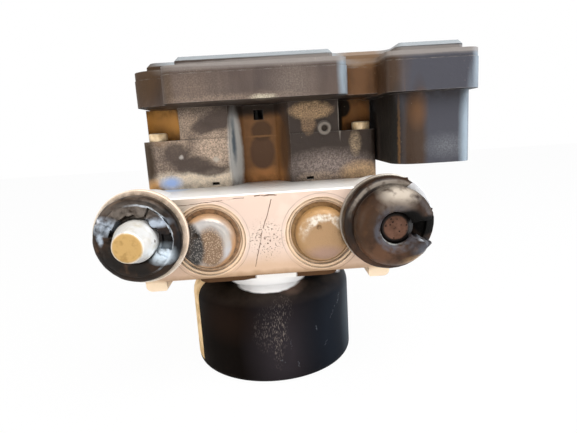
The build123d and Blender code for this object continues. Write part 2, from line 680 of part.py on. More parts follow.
def magnets():
    """Curved ferrite magnets, bonded inside the can."""
    outer = MOTOR_RADIUS - CAN_WALL - PRESS_FIT
    inner = ROTOR_RADIUS + MAGNET_AIR_GAP
    group = Part()
    for index in range(MAGNET_COUNT):
        start = index * 360 / MAGNET_COUNT + (360 / MAGNET_COUNT - MAGNET_ARC) / 2
        group += turned([
            (inner, MAGNET_BOTTOM, 0),
            (outer, MAGNET_BOTTOM, 0),
            (outer, MAGNET_BOTTOM + MAGNET_LENGTH, 0),
            (inner, MAGNET_BOTTOM + MAGNET_LENGTH, 0),
        ], MAGNET_ARC, start)
    return group


def motor_shaft():
    """The shaft, with the eccentric that drives the pump turned on its upper end."""
    bottom = CAN_WALL + SHAFT_TIP_CLEARANCE
    eccentric_bottom = BLOCK_BOTTOM + BEARING_WIDTH + 1.0
    eccentric_top = BLOCK_BOTTOM + BEARING_WIDTH + ECCENTRIC_CHAMBER_HEIGHT - 1.0
    shaft = chamfer(cylinder(SHAFT_RADIUS, bottom, eccentric_bottom).edges().sort_by(Axis.Z)[0], 0.5)
    return shaft + cylinder(ECCENTRIC_RADIUS, eccentric_bottom, eccentric_top, ECCENTRICITY)


def eccentric_ring():
    """The needle bearing's outer ring, which the plungers run on."""
    bottom = BLOCK_BOTTOM + BEARING_WIDTH + 1.2
    top = BLOCK_BOTTOM + BEARING_WIDTH + ECCENTRIC_CHAMBER_HEIGHT - 1.2
    ring = cylinder(ECCENTRIC_RING_RADIUS, bottom, top, ECCENTRICITY)
    return ring - cylinder(ECCENTRIC_RADIUS + SLIDE_FIT, bottom, top, ECCENTRICITY)


def bearing_race(inner, outer):
    """One race of the ball bearing, with the ball track turned into it."""
    bottom, top = BLOCK_BOTTOM + PRESS_FIT, BLOCK_BOTTOM + BEARING_WIDTH - PRESS_FIT
    race = cylinder(outer, bottom, top) - cylinder(inner, bottom, top)
    return race - Pos(0, 0, BLOCK_BOTTOM + BEARING_WIDTH / 2) * Torus((SHAFT_RADIUS + BEARING_RADIUS) / 2, BALL_RADIUS)


def bearing_outer_race():
    return bearing_race(BEARING_RADIUS - BEARING_RACE, BEARING_RADIUS)


def bearing_inner_race():
    """The inner race, and the balls in their cage, which turn with the shaft."""
    track = (SHAFT_RADIUS + BEARING_RADIUS) / 2
    half_cage = BALL_RADIUS / 2
    middle = BLOCK_BOTTOM + BEARING_WIDTH / 2
    cage = cylinder(track + half_cage, middle - half_cage, middle + half_cage)
    cage -= cylinder(track - half_cage, middle - half_cage, middle + half_cage)
    for index in range(BALL_COUNT):
        place = Rot(0, 0, index * 360 / BALL_COUNT) * Pos(track, 0, middle)
        cage += place * Sphere(BALL_RADIUS - SLIDE_FIT)
    return Part() + [bearing_race(SHAFT_RADIUS + PRESS_FIT, SHAFT_RADIUS + BEARING_RACE), cage]


def slot_faces(clearance):
    """The rotor's winding slots in plan, narrowed by a clearance."""
    slots = Sketch()
    for index in range(ROTOR_SLOTS):
        slot = Rectangle(SLOT_DEPTH - 2 * clearance, SLOT_WIDTH - 2 * clearance)
        slots += Rot(0, 0, index * 360 / ROTOR_SLOTS) * Pos(ROTOR_RADIUS - SLOT_DEPTH / 2 - 1.0, 0) * slot
    return slots


def rotor_core():
    """The laminated core, slotted for the winding."""
    plan = Circle(ROTOR_RADIUS) - Circle(SHAFT_RADIUS + PRESS_FIT) - slot_faces(0)
    for index in range(ROTOR_SLOTS):
        plan -= Rot(0, 0, index * 360 / ROTOR_SLOTS) * Pos(ROTOR_RADIUS, 0) * Rectangle(4.0, 1.6)
    return prism(plan, ROTOR_BOTTOM, ROTOR_BOTTOM + ROTOR_LENGTH)


def rotor_winding():
    """The copper winding: two end rings joined by the wires in the slots."""
    top = ROTOR_BOTTOM + ROTOR_LENGTH
    winding = prism(slot_faces(0.3), ROTOR_BOTTOM - 1.0, top + 1.0)
    for bottom in (ROTOR_BOTTOM - WINDING_OVERHANG, top + PRESS_FIT):
        height = WINDING_OVERHANG - PRESS_FIT
        ring = cylinder(WINDING_RADIUS, bottom, bottom + height) - cylinder(SHAFT_RADIUS + 2.0, bottom, bottom + height)
        winding += ring
    return winding


def commutator():
    """The copper commutator, with its bars parted by narrow cuts."""
    top = COMMUTATOR_Z + COMMUTATOR_LENGTH
    plan = Circle(COMMUTATOR_RADIUS) - Circle(SHAFT_RADIUS + PRESS_FIT)
    for index in range(COMMUTATOR_BARS):
        plan -= Rot(0, 0, (index + 0.5) * 360 / COMMUTATOR_BARS) * Pos(COMMUTATOR_RADIUS, 0) * Rectangle(2.4, 0.6)
    return prism(plan, COMMUTATOR_Z, top)


def brush_plate():
    """The plastic plate in the can's neck: two brush boxes under it, the terminal tower on it."""
    radius = CAN_NECK_RADIUS - CAN_WALL - PRESS_FIT
    top = BRUSH_PLATE_Z + BRUSH_PLATE_THICKNESS
    plate = cylinder(radius, BRUSH_PLATE_Z, top) - cylinder(COMMUTATOR_RADIUS + 1.0, BRUSH_PLATE_Z, top)
    wall = BRUSH_HOLDER_WALL
    start = COMMUTATOR_RADIUS + 2.0
    end = radius - 2.0
    half = BRUSH_WIDTH / 2 + SLIDE_FIT
    for side in (-1, 1):
        holder = block((start, end), (-half - wall, half + wall), (BRUSH_Z - wall - SLIDE_FIT, BRUSH_PLATE_Z))
        holder -= block((start, end - wall), (-half, half), (BRUSH_Z - SLIDE_FIT, BRUSH_Z + BRUSH_HEIGHT + SLIDE_FIT))
        plate += Rot(0, 0, 90 - 90 * side) * holder
    plate += cylinder(TERMINAL_RADIUS, BRUSH_PLATE_Z, BLOCK_TOP + LOWER_TIER_HEIGHT, 0, TERMINAL_Y)
    for side in (-1, 1):
        x = side * TERMINAL_BLADE_SPACING / 2
        half_blade = TERMINAL_BLADE_WIDTH / 2
        plate += block((x - half_blade, x + half_blade), (TERMINAL_Y - 0.4, TERMINAL_Y + 0.4),
                       (LEDGE_Z, BOARD_Z))
    return plate


def brush(side):
    """A carbon brush, hollowed to the commutator's curve."""
    start = COMMUTATOR_RADIUS + SLIDE_FIT
    half = BRUSH_WIDTH / 2
    carbon = block((start - 1, start + BRUSH_LENGTH), (-half, half), (BRUSH_Z, BRUSH_Z + BRUSH_HEIGHT))
    carbon -= cylinder(start, BRUSH_Z, BRUSH_Z + BRUSH_HEIGHT)
    return Rot(0, 0, 90 - 90 * side) * carbon


def brush_spring(side):
    """A bent leaf spring between the brush and the end of its box."""
    start = COMMUTATOR_RADIUS + SLIDE_FIT + BRUSH_LENGTH + SEAT_GAP
    end = CAN_NECK_RADIUS - CAN_WALL - PRESS_FIT - 2.0 - BRUSH_HOLDER_WALL - SEAT_GAP
    thick = BRUSH_SPRING_THICKNESS
    half = BRUSH_WIDTH / 2 - 0.4
    leaf = make_face(Polyline([
        (start, -half), (start + thick, -half), (end, half - thick), (end, half), (end - thick, half), (start, -half + thick),
    ], close=True))
    return Rot(0, 0, 90 - 90 * side) * prism(leaf, BRUSH_Z + 1.0, BRUSH_Z + BRUSH_HEIGHT - 1.0)


# Valves and coils

def valve_body(x, y):
    """A staked valve insert with its flange on the block and a closed guide tube above."""
    bottom = BLOCK_TOP - VALVE_BORE_DEPTH + SEAT_GAP
    flange_top = BLOCK_TOP + VALVE_FLANGE_HEIGHT
    top = BLOCK_TOP + VALVE_TUBE_HEIGHT
    guide = VALVE_TUBE_RADIUS - VALVE_TUBE_WALL
    return Pos(x, y, 0) * turned([
        (VALVE_PORT_RADIUS, bottom, 0),
        (VALVE_BORE_RADIUS, bottom, 0.6),
        (VALVE_BORE_RADIUS, BLOCK_TOP, 0),
        (VALVE_FLANGE_RADIUS, BLOCK_TOP, 0),
        (VALVE_FLANGE_RADIUS, flange_top, 0),
        (VALVE_TUBE_RADIUS, flange_top, 0),
        (VALVE_TUBE_RADIUS, top, 1.0),
        (0, top, 0),
        (0, top - VALVE_TUBE_WALL, 0),
        (guide, top - VALVE_TUBE_WALL, 0),
        (guide, bottom + VALVE_SEAT_HEIGHT, 0),
        (VALVE_PORT_RADIUS, bottom + VALVE_SEAT_HEIGHT, 0),
    ])


def valve_armature(x, y):
    """The sliding iron core, with the nose that shuts the valve seat."""
    bottom = BLOCK_TOP - VALVE_BORE_DEPTH + SEAT_GAP + VALVE_SEAT_HEIGHT + ARMATURE_END_GAP
    top = BLOCK_TOP + VALVE_TUBE_HEIGHT - VALVE_TUBE_WALL - ARMATURE_END_GAP
    radius = VALVE_TUBE_RADIUS - VALVE_TUBE_WALL - SLIDE_FIT
    return Pos(x, y, 0) * turned([
        (0, bottom, 0),
        (ARMATURE_NOSE_RADIUS, bottom, 0),
        (ARMATURE_NOSE_RADIUS, bottom + ARMATURE_NOSE_LENGTH, 0),
        (radius, bottom + ARMATURE_NOSE_LENGTH, 0),
        (radius, top, 0.5),
        (0, top, 0),
    ])


def coil_carrier():
    """Eight bobbins under one plastic plate that rests against the tray's floor."""
    low = BLOCK_TOP + COIL_STAND_OFF
    high = low + COIL_HEIGHT
    plate_z = TRAY_Z - CARRIER_PLATE
    gap = 4 * SEAT_GAP
    carrier = block((-CAVITY_HALF_WIDTH + gap, CAVITY_HALF_WIDTH - gap), (CAVITY_FRONT + gap, CAVITY_BACK - gap),
                    (plate_z, TRAY_Z))
    carrier -= screw_wells(BOX_WALL + gap, plate_z, TRAY_Z)
    carrier -= cylinder(TERMINAL_RADIUS + gap, plate_z, TRAY_Z, 0, TERMINAL_Y)
    for x, y in VALVES:
        carrier += Pos(x, y, 0) * turned([
            (VALVE_TUBE_RADIUS + 2 * SEAT_GAP, low, 0),
            (COIL_RADIUS, low, 0),
            (COIL_RADIUS, low + COIL_FLANGE, 0),
            (COIL_WAIST_RADIUS, low + COIL_FLANGE, 0),
            (COIL_WAIST_RADIUS, high - COIL_FLANGE, 0),
            (COIL_RADIUS, high - COIL_FLANGE, 0),
            (COIL_RADIUS, high, 0),
            (COIL_NECK_RADIUS, high, 0),
            (COIL_NECK_RADIUS, plate_z, 0),
            (0, plate_z, 0),
            (0, high - COIL_FLANGE, 0),
            (VALVE_TUBE_RADIUS + 2 * SEAT_GAP, high - COIL_FLANGE, 0),
        ])
        for side in (-1, 1):
            lead_x = x + side * LEAD_SPACING / 2
            half = LEAD_WIDTH / 2
            carrier += block((lead_x - half, lead_x + half), (y - half, y + half), (TRAY_Z - 1, BOARD_Z))
    return carrier


# Control unit housing

def tray_outline(inset=0.0):
    """The rim's outline in plan: stepped front, set-back left corner, plug head at the right."""
    step_y = FRONT + TRAY_STEP + inset
    front = FRONT + inset
    back = BACK + TRAY_BACK_OVERHANG - inset
    head_front = FRONT - HEAD_OVERHANG + inset
    head_back = FRONT - HEAD_OVERHANG + HEAD_DEPTH - inset
    left, right = TRAY_LEFT + inset, HEAD_RIGHT - inset
    middle = TRAY_FRONT_HALF_WIDTH - inset
    head_left = HEAD_LEFT + inset
    body_right = HEAD_LEFT - inset
    outer = max(TRAY_CORNER - inset, TRAY_LEAST_CORNER)
    inner = TRAY_STEP_CORNER
    return rounded_face([
        (-middle, front, outer),
        (middle, front, outer),
        (middle, step_y, inner),
        (head_left, step_y, inner),
        (head_left, head_front, inner),
        (right, head_front, outer),
        (right, head_back, outer),
        (body_right, head_back, inner),
        (body_right, back, outer),
        (left, back, outer),
        (left, step_y, max(TRAY_LEFT_CORNER - inset, TRAY_LEAST_CORNER)),
        (-middle, step_y, inner),
    ])


def head_outline():
    """The plug head's own part of the rim outline."""
    front = FRONT - HEAD_OVERHANG
    return rounded_face([
        (HEAD_LEFT, front, TRAY_STEP_CORNER),
        (HEAD_RIGHT, front, TRAY_CORNER),
        (HEAD_RIGHT, front + HEAD_DEPTH, TRAY_CORNER),
        (HEAD_LEFT, front + HEAD_DEPTH, TRAY_CORNER),
    ])


def shroud_outline(inset=0.0):
    """The plug socket's outline: a large rounding at its front left corner."""
    front = FRONT - HEAD_OVERHANG + SHROUD_SETBACK
    left, right = SHROUD_LEFT + inset, SHROUD_RIGHT - inset
    return rounded_face([
        (left, front + inset, SHROUD_LARGE_CORNER - inset),
        (right, front + inset, SHROUD_SMALL_CORNER - inset),
        (right, front + SHROUD_DEPTH - inset, SHROUD_SMALL_CORNER - inset),
        (left, front + SHROUD_DEPTH - inset, SHROUD_SMALL_CORNER - inset),
    ])


def recess_outline(grow=0.0):
    """The tapered recess in the middle of the coil box's front."""
    mouth = RECESS_MOUTH / 2 + grow
    floor = RECESS_FLOOR / 2 + grow
    return rounded_face([
        (RECESS_CENTRE - mouth - 1, BOX_FRONT - 1, 0),
        (RECESS_CENTRE + mouth + 1, BOX_FRONT - 1, 0),
        (RECESS_CENTRE + mouth, BOX_FRONT, 0),
        (RECESS_CENTRE + floor, RECESS_BACK + grow, 2.0),
        (RECESS_CENTRE - floor, RECESS_BACK + grow, 2.0),
        (RECESS_CENTRE - mouth, BOX_FRONT, 0),
    ])


def screw_wells(grow, bottom, top):
    """The scooped wells above the screws at the four corners."""
    wells = Part()
    centre_x, centre_y = SCREW_WELL_CENTRE
    for side in (-1, 1):
        x = side * centre_x
        y = BOX_FRONT + centre_y
        wells += cylinder(SCREW_WELL_RADIUS + grow, bottom, top, x, y)
        inner_x, outer_x = centre_x - SCREW_WELL_RADIUS - grow, LOWER_TIER_WIDTH / 2 + 1
        x_range = (inner_x, outer_x) if side > 0 else (-outer_x, -inner_x)
        wells += block(x_range, (BOX_FRONT - 1, y), (bottom, top))
        back_y = BACK - SCREW_BACK_INSET
        wells += cylinder(BACK_WELL_RADIUS + grow, bottom, top, side * SCREW_X, back_y)
        x_range = (SCREW_X - BACK_WELL_RADIUS - grow, outer_x)
        x_range = x_range if side > 0 else (-x_range[1], -x_range[0])
        wells += block(x_range, (back_y, BACK + 1), (bottom, top))
    return wells


def seal_ring(width):
    """The seal's closed path round the coil cavity, at a width."""
    depth = CAVITY_BACK - CAVITY_FRONT
    middle_y = (CAVITY_BACK + CAVITY_FRONT) / 2
    run = RECESS_WALL / 2
    outer = RectangleRounded(2 * SEAL_HALF_WIDTH + width, depth + 2 * run + width, 4.0)
    inner = RectangleRounded(2 * SEAL_HALF_WIDTH - width, depth + 2 * run - width, 4.0 - width / 2)
    return Pos(0, middle_y) * (outer - inner)


def housing_seal():
    ring = seal_ring(SEAL_WIDTH - 2 * PRESS_FIT)
    return prism(ring, BLOCK_TOP, BLOCK_TOP + SEAL_GROOVE_HEIGHT - PRESS_FIT)


def plug_socket():
    """The plug shroud that hangs from the head, open downwards."""
    floor_z = TRAY_Z - HEAD_DROP
    mouth_z = floor_z - SHROUD_HEIGHT
    shroud = prism(shroud_outline(), mouth_z, TRAY_Z)
    shroud -= prism(shroud_outline(SHROUD_WALL), mouth_z, mouth_z + SOCKET_DEPTH)
    front = FRONT - HEAD_OVERHANG + SHROUD_SETBACK + SHROUD_LARGE_CORNER
    notch = make_face(Polyline([
        (front, mouth_z - 1),
        (front + SHROUD_NOTCH_RUN, mouth_z + SHROUD_NOTCH_RISE),
        (BACK, mouth_z + SHROUD_NOTCH_RISE),
        (BACK, mouth_z - 1),
    ], close=True))
    cut = extrude(Pos(SHROUD_LEFT - 1, 0, 0) * Plane.YZ * notch, amount=SHROUD_WALL + 1.5)
    return shroud - cut


def coil_box():
    """The two tiers that stand on the block, before they are hollowed."""
    half = LOWER_TIER_WIDTH / 2
    lower = rounded_face([
        (-half, BOX_FRONT, LOWER_TIER_CORNER),
        (half, BOX_FRONT, LOWER_TIER_CORNER),
        (half, BACK, LOWER_TIER_CORNER),
        (-half, BACK, LOWER_TIER_CORNER),
    ])
    box = prism(lower, BLOCK_TOP, LEDGE_Z)
    half = UPPER_TIER_WIDTH / 2
    upper = block((-half, half), (BOX_FRONT + UPPER_TIER_SETBACK, BACK - UPPER_TIER_SETBACK), (LEDGE_Z, TRAY_Z))
    box += upper - screw_wells(0, LEDGE_Z, TRAY_Z)
    box -= prism(recess_outline(), BLOCK_TOP, TRAY_Z)
    boss = cylinder(PROBE_BOSS_RADIUS, 0, PROBE_BOSS_RISE + 1) - cylinder(PROBE_BOSS_RADIUS / 2, 0.5, PROBE_BOSS_RISE + 1)
    boss_place = Pos(PROBE_BOSS_X, BOX_FRONT + 1, BLOCK_TOP + PROBE_BOSS_HEIGHT) * Rot(90, 0, 0)
    return box + boss_place * boss


def coil_cavity():
    """The room for the coils, and the two hollows beside the recess."""
    half = CAVITY_HALF_WIDTH
    cavity = block((-half, half), (CAVITY_FRONT, CAVITY_BACK), (BLOCK_TOP, TRAY_Z))
    cavity -= screw_wells(BOX_WALL, BLOCK_TOP, TRAY_Z)
    rim = 4.0
    cavity += block((-half + rim, half - rim), (CAVITY_FRONT + rim, CAVITY_BACK - rim), (TRAY_Z, TRAY_Z + TRAY_FLOOR))
    inner_x = RECESS_CENTRE + RECESS_MOUTH / 2 + BOX_WALL + 1.0
    outer_x = SCREW_WELL_CENTRE[0] - SCREW_WELL_RADIUS - BOX_WALL
    for side in (-1, 1):
        x_range = (inner_x, outer_x) if side > 0 else (-outer_x, -inner_x)
        cavity += block(x_range, (BOX_FRONT + BOX_WALL, RECESS_BACK - 0.6), (BLOCK_TOP, TRAY_Z - BOX_WALL))
    return cavity


def ecu_housing():
    """One moulding: rim tray, coil box and plug socket."""
    tray = prism(tray_outline(), TRAY_Z, RIM_Z)
    tray += prism(head_outline(), TRAY_Z - HEAD_DROP, TRAY_Z)
    tray -= prism(tray_outline(TRAY_WALL), TRAY_Z + TRAY_FLOOR, RIM_Z)
    housing = tray + coil_box() + plug_socket()
    housing -= coil_cavity()
    housing -= prism(seal_ring(SEAL_WIDTH), BLOCK_TOP, BLOCK_TOP + SEAL_GROOVE_HEIGHT)
    for x, y in SCREWS:
        housing -= cylinder(SCREW_HOLE_RADIUS, BLOCK_TOP, LEDGE_Z, x, y)
    for x, y in BOARD_POSTS:
        housing += cylinder(BOARD_POST_RADIUS, TRAY_Z + TRAY_FLOOR, BOARD_Z, x, y)
    half = WINDOW_SIZE / 2
    window_z = BLOCK_TOP + WINDOW_HEIGHT
    housing -= block((RECESS_CENTRE - half, RECESS_CENTRE + half), (RECESS_BACK - 1, CAVITY_FRONT + 1),
                     (window_z - half, window_z + half))
    for side in (-1, 1):
        x = side * DRAIN_SLOT_X
        half = DRAIN_SLOT_WIDTH / 2
        floor = BLOCK_TOP + DRAIN_SLOT_FLOOR
        housing -= block((x - half, x + half), (BOX_FRONT - 1, BOX_FRONT + BOX_WALL + 0.5),
                         (floor, floor + DRAIN_SLOT_HEIGHT))
    for x, y in contact_places():
        housing -= contact_hole(x, y, CONTACT_WIDTH + 2 * PRESS_FIT, CONTACT_WIDTH + 2 * PRESS_FIT)
    for y in BLADE_Y:
        housing -= contact_hole(SOCKET_X, SOCKET_Y + y, BLADE_WIDTH + 2 * PRESS_FIT, BLADE_THICKNESS + 2 * PRESS_FIT)
    return housing


SOCKET_X = (SHROUD_LEFT + SHROUD_RIGHT) / 2
SOCKET_Y = FRONT - HEAD_OVERHANG + SHROUD_SETBACK + SHROUD_DEPTH / 2
SOCKET_MOUTH = TRAY_Z - HEAD_DROP - SHROUD_HEIGHT


def contact_places():
    """The small contacts' places: rows along the socket, clear of the two blades."""
    places = []
    for row_x in CONTACT_ROWS_X:
        for index in range(CONTACTS_PER_ROW):
            y = CONTACT_PITCH * (index - (CONTACTS_PER_ROW - 1) / 2)
            near_blade = min(abs(y - blade_y) for blade_y in BLADE_Y) < 2.5
            if not (row_x == 0 and near_blade):
                places.append((SOCKET_X + row_x, SOCKET_Y + y))
    return places


def contact_hole(x, y, width, thickness):
    """The hole of one contact through the socket's floor and the tray's floor."""
    return block((x - width / 2, x + width / 2), (y - thickness / 2, y + thickness / 2),
                 (SOCKET_MOUTH + SOCKET_DEPTH, TRAY_Z + TRAY_FLOOR))


def connector_pins():
    """The plug's contacts: small square pins and two power blades, up to the circuit board."""
    tip = SOCKET_MOUTH + PIN_TIP_INSET
    group = Part()
    half = CONTACT_WIDTH / 2
    for x, y in contact_places():
        group += block((x - half, x + half), (y - half, y + half), (tip, BOARD_Z))
    half_width, half_thickness = BLADE_WIDTH / 2, BLADE_THICKNESS / 2
    for blade_y in BLADE_Y:
        y = SOCKET_Y + blade_y
        group += block((SOCKET_X - half_width, SOCKET_X + half_width), (y - half_thickness, y + half_thickness),
                       (tip, BOARD_Z))
    return group


def ecu_cover():
    """The lid: an edge flush with the rim, a locating lip and a raised, chamfered middle."""
    edge_top = RIM_Z + COVER_EDGE
    lid = prism(tray_outline(COVER_INSET), RIM_Z, edge_top)
    plateau = prism(tray_outline(PLATEAU_INSET), edge_top, edge_top + PLATEAU_RISE)
    lid += chamfer(plateau.faces().sort_by(Axis.Z)[-1].edges(), PLATEAU_CHAMFER)
    lip_outer = TRAY_WALL + COVER_LIP_GAP
    lip = prism(tray_outline(lip_outer), RIM_Z - COVER_LIP_HEIGHT, RIM_Z)
    lip -= prism(tray_outline(lip_outer + COVER_LIP_WIDTH), RIM_Z - COVER_LIP_HEIGHT, RIM_Z)
    hollow = prism(tray_outline(PLATEAU_INSET + COVER_WALL), RIM_Z, edge_top + PLATEAU_RISE - COVER_WALL)
    return lid + lip - hollow


BOARD_CHIPS = [
    ((-20.0, -12.0), (18.0, 18.0), 2.2),
    ((12.0, -18.0), (12.0, 9.0), 1.8),
    ((-8.0, 20.0), (34.0, 8.0), 2.0),
    ((30.0, 16.0), (10.0, 14.0), 3.4),
    ((72.0, -10.0), (14.0, 20.0), 2.6),
]
CAPACITORS = [(-34.0, 26.0), (-34.0, 12.0)]
CAPACITOR_RADIUS = 4.0
CAPACITOR_HEIGHT = 7.0


def circuit_board():
    """The board on its posts, with its larger components soldered on."""
    top = BOARD_Z + BOARD_THICKNESS
    board = prism(tray_outline(BOARD_INSET), BOARD_Z, top)
    for (x, y), (width, depth), height in BOARD_CHIPS:
        board += block((x - width / 2, x + width / 2), (y - depth / 2, y + depth / 2), (top, top + height))
    for x, y in CAPACITORS:
        board += cylinder(CAPACITOR_RADIUS, top, top + CAPACITOR_HEIGHT, x, y)
    return board


def ecu_screw():
    """A pan-head screw with a star socket, here six-sided."""
    top = LEDGE_Z + SCREW_HEAD_HEIGHT
    screw = turned([
        (0, BLOCK_TOP - SCREW_BITE, 0),
        (SCREW_RADIUS, BLOCK_TOP - SCREW_BITE, 0.6),
        (SCREW_RADIUS, LEDGE_Z, 0),
        (SCREW_HEAD_RADIUS, LEDGE_Z, 0),
        (SCREW_HEAD_RADIUS, top, 0.8),
        (0, top, 0),
    ])
    return screw - prism(RegularPolygon(SCREW_SOCKET_RADIUS, 6), top - SCREW_SOCKET_DEPTH, top)


def main():
    os.makedirs("parts", exist_ok=True)
    save("valve_block", valve_block())
    save("motor_can", motor_can())
    save("rear_bush", rear_bush())
    save("motor_magnets", magnets())
    save("motor_shaft", motor_shaft())
    save("eccentric_ring", eccentric_ring())
    save("bearing_outer_race", bearing_outer_race())
    save("bearing_inner_race", bearing_inner_race())
    save("rotor_core", rotor_core())
    save("rotor_winding", rotor_winding())
    save("commutator", commutator())
    save("brush_plate", brush_plate())
    save("motor_screws", Part() + [Pos(side * MOTOR_EAR_OFFSET, 0, 0) * motor_screw() for side in (-1, 1)])
    save("ecu_housing", ecu_housing())
    save("ecu_cover", ecu_cover())
    save("circuit_board", circuit_board())
    save("connector_pins", connector_pins())
    save("housing_seal", housing_seal())
    save("coil_carrier", coil_carrier())
    save("ecu_screws", Part() + [Pos(x, y, 0) * ecu_screw() for x, y in SCREWS])
    for number, (x, y) in enumerate(VALVES, start=1):
        save(f"valve_body_{number}", valve_body(x, y))
        save(f"valve_armature_{number}", valve_armature(x, y))
    washers = []
    plugs = []
    for name, side in (("left", -1), ("right", 1)):
        pin_place = front_place(side * PIN_X, BLOCK_BOTTOM + PIN_HEIGHT)
        cap_place = front_place(side * ACCUMULATOR_X, BLOCK_BOTTOM + ACCUMULATOR_HEIGHT)
        pump_place = side_place(side, PUMP_Z)
        save(f"mounting_pin_{name}", pin_place * mounting_pin(name))
        washers.append(pin_place * isolator_washer())
        save(f"accumulator_cap_{name}", cap_place * accumulator_cap(name))
        save(f"accumulator_piston_{name}", cap_place * accumulator_piston())
        save(f"accumulator_seal_{name}", cap_place * accumulator_seal())
        save(f"accumulator_spring_{name}", cap_place * accumulator_spring())
        save(f"pump_sleeve_{name}", pump_place * pump_sleeve())
        save(f"pump_plunger_{name}", pump_place * pump_plunger())
        save(f"pump_spring_{name}", pump_place * pump_spring())
        plugs.append(pump_place * pump_plug())
        save(f"brush_{name}", brush(side))
        save(f"brush_spring_{name}", brush_spring(side))
    save("isolator_washers", Part() + washers)
    save("pump_plugs", Part() + plugs)
    save("isolator_left", front_place(-PIN_X, BLOCK_BOTTOM + PIN_HEIGHT) * isolator_left())
    save("isolator_right", front_place(PIN_X, BLOCK_BOTTOM + PIN_HEIGHT) * isolator_right())


main()
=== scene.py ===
# %% [markdown]
# # A used brake hydraulic unit
#
# This lesson dresses a finished CAD model: an aluminium valve block with a pump motor under it, a black
# plastic control unit on top and two torn rubber mounts in front. The CAD solids stay where they are.
# We give them the grime, wear and polish of years under a bonnet, with some painted light and shade among them,
# and model the torn rubber by hand.

# %% Load the CAD frame
from math import cos, degrees, radians, sin

import bmesh
import bpy
from mathutils import Matrix, Vector, noise


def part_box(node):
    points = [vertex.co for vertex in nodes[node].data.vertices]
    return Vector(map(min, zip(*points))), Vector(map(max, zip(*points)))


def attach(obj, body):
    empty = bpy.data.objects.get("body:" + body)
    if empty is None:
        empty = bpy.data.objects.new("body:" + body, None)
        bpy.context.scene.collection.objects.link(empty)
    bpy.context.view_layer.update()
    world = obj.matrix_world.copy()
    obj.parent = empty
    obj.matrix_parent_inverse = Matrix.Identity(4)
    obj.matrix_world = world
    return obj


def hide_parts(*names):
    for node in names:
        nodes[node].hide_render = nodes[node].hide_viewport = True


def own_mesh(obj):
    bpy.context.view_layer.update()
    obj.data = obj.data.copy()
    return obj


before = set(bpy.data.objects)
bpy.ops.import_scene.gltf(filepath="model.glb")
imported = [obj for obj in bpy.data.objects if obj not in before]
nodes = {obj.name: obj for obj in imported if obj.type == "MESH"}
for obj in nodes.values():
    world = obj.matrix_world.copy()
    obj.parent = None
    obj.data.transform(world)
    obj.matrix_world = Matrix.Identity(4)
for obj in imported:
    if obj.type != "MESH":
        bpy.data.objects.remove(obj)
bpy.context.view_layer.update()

# %% [markdown]
# ## Where things are
#
# A new piece has to sit exactly on the CAD, so we read the places that we need from the solids' boxes
# rather than typing them in. Blender works in metres; `MM` lets us write sizes as on a drawing.

# %% Measure the solids that new pieces sit on
MM = 0.001


def middle(node):
    low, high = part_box(node)
    return (low + high) / 2


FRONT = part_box("valve_block")[0].y
PIN_AXIS = {side: middle(f"mounting_pin_{side}") for side in ("left", "right")}
PIN_RADIUS = {
    side: (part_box(f"mounting_pin_{side}")[1].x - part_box(f"mounting_pin_{side}")[0].x) / 2 for side in PIN_AXIS
}
WASHER_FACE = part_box("isolator_washers")[0].y
MOTOR_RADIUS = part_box("motor_can")[1].y
CAP_CENTRE = {side: middle(f"accumulator_cap_{side}") for side in PIN_AXIS}
print("block front", FRONT, "washer face", WASHER_FACE, "motor radius", MOTOR_RADIUS)

# %% [markdown]
# ## The camera
#
# The photographer stood close, a hand's width above the block, and tilted the camera down and a little to
# one side. A short lens this near makes the front corners loom. Its place and turns were worked out from
# the block's and the lid's straight edges.

# %% Place the camera
CAMERA_PLACE = Vector((4.5, -231.8, 115.0)) * MM
CAMERA_TURN_RIGHT, CAMERA_LOOK_DOWN, CAMERA_ROLL = radians(1.75), radians(10.8), radians(3.46)
FOCAL_PIXELS, PICTURE_WIDTH, SENSOR_WIDTH = 450.0, 577.0, 36.0


def camera_axes(turn, down, roll):
    """The camera's right, up and backward directions."""
    forward = Vector((sin(turn) * cos(down), cos(turn) * cos(down), -sin(down)))
    level = Vector((cos(turn), -sin(turn), 0))
    below = forward.cross(level)
    right = level * cos(roll) + below * sin(roll)
    up = level * sin(roll) - below * cos(roll)
    return right, up, -forward


camera = bpy.data.objects.new("camera", bpy.data.cameras.new("camera"))
camera.data.lens = SENSOR_WIDTH * FOCAL_PIXELS / PICTURE_WIDTH
camera.data.sensor_width = SENSOR_WIDTH
camera.data.clip_start = 0.01
right, up, backward = camera_axes(CAMERA_TURN_RIGHT, CAMERA_LOOK_DOWN, CAMERA_ROLL)
turned = Matrix((right, up, backward)).transposed().to_4x4()
camera.matrix_world = Matrix.Translation(CAMERA_PLACE) @ turned
bpy.context.scene.collection.objects.link(camera)
bpy.context.scene.camera = camera
print("lens", round(camera.data.lens, 2), "mm")

# %% [markdown]
# ## Small helpers for node trees
#
# The world, the floor and every finish are node trees. `put` adds one node and fills its sockets, and the
# others wrap the few sums that masks are made of, so that a tree reads like a recipe.

# %% Helpers for node trees
def put(tree, kind, inputs=None, **settings):
    """Adds a node, sets its options, and fills sockets with values or links."""
    node = tree.nodes.new(kind)
    for option, value in settings.items():
        setattr(node, option, value)
    for socket, value in (inputs or {}).items():
        if isinstance(value, bpy.types.NodeSocket):
            tree.links.new(value, node.inputs[socket])
        else:
            node.inputs[socket].default_value = value
    return node


def maths(tree, operation, first, second=0.0):
    return put(tree, "ShaderNodeMath", {0: first, 1: second}, operation=operation).outputs[0]


def between(tree, value, low, high, start=0.0, end=1.0):
    """Maps low..high to start..end, clamped."""
    inputs = {"Value": value, "From Min": low, "From Max": high, "To Min": start, "To Max": end}
    return put(tree, "ShaderNodeMapRange", inputs, clamp=True).outputs["Result"]


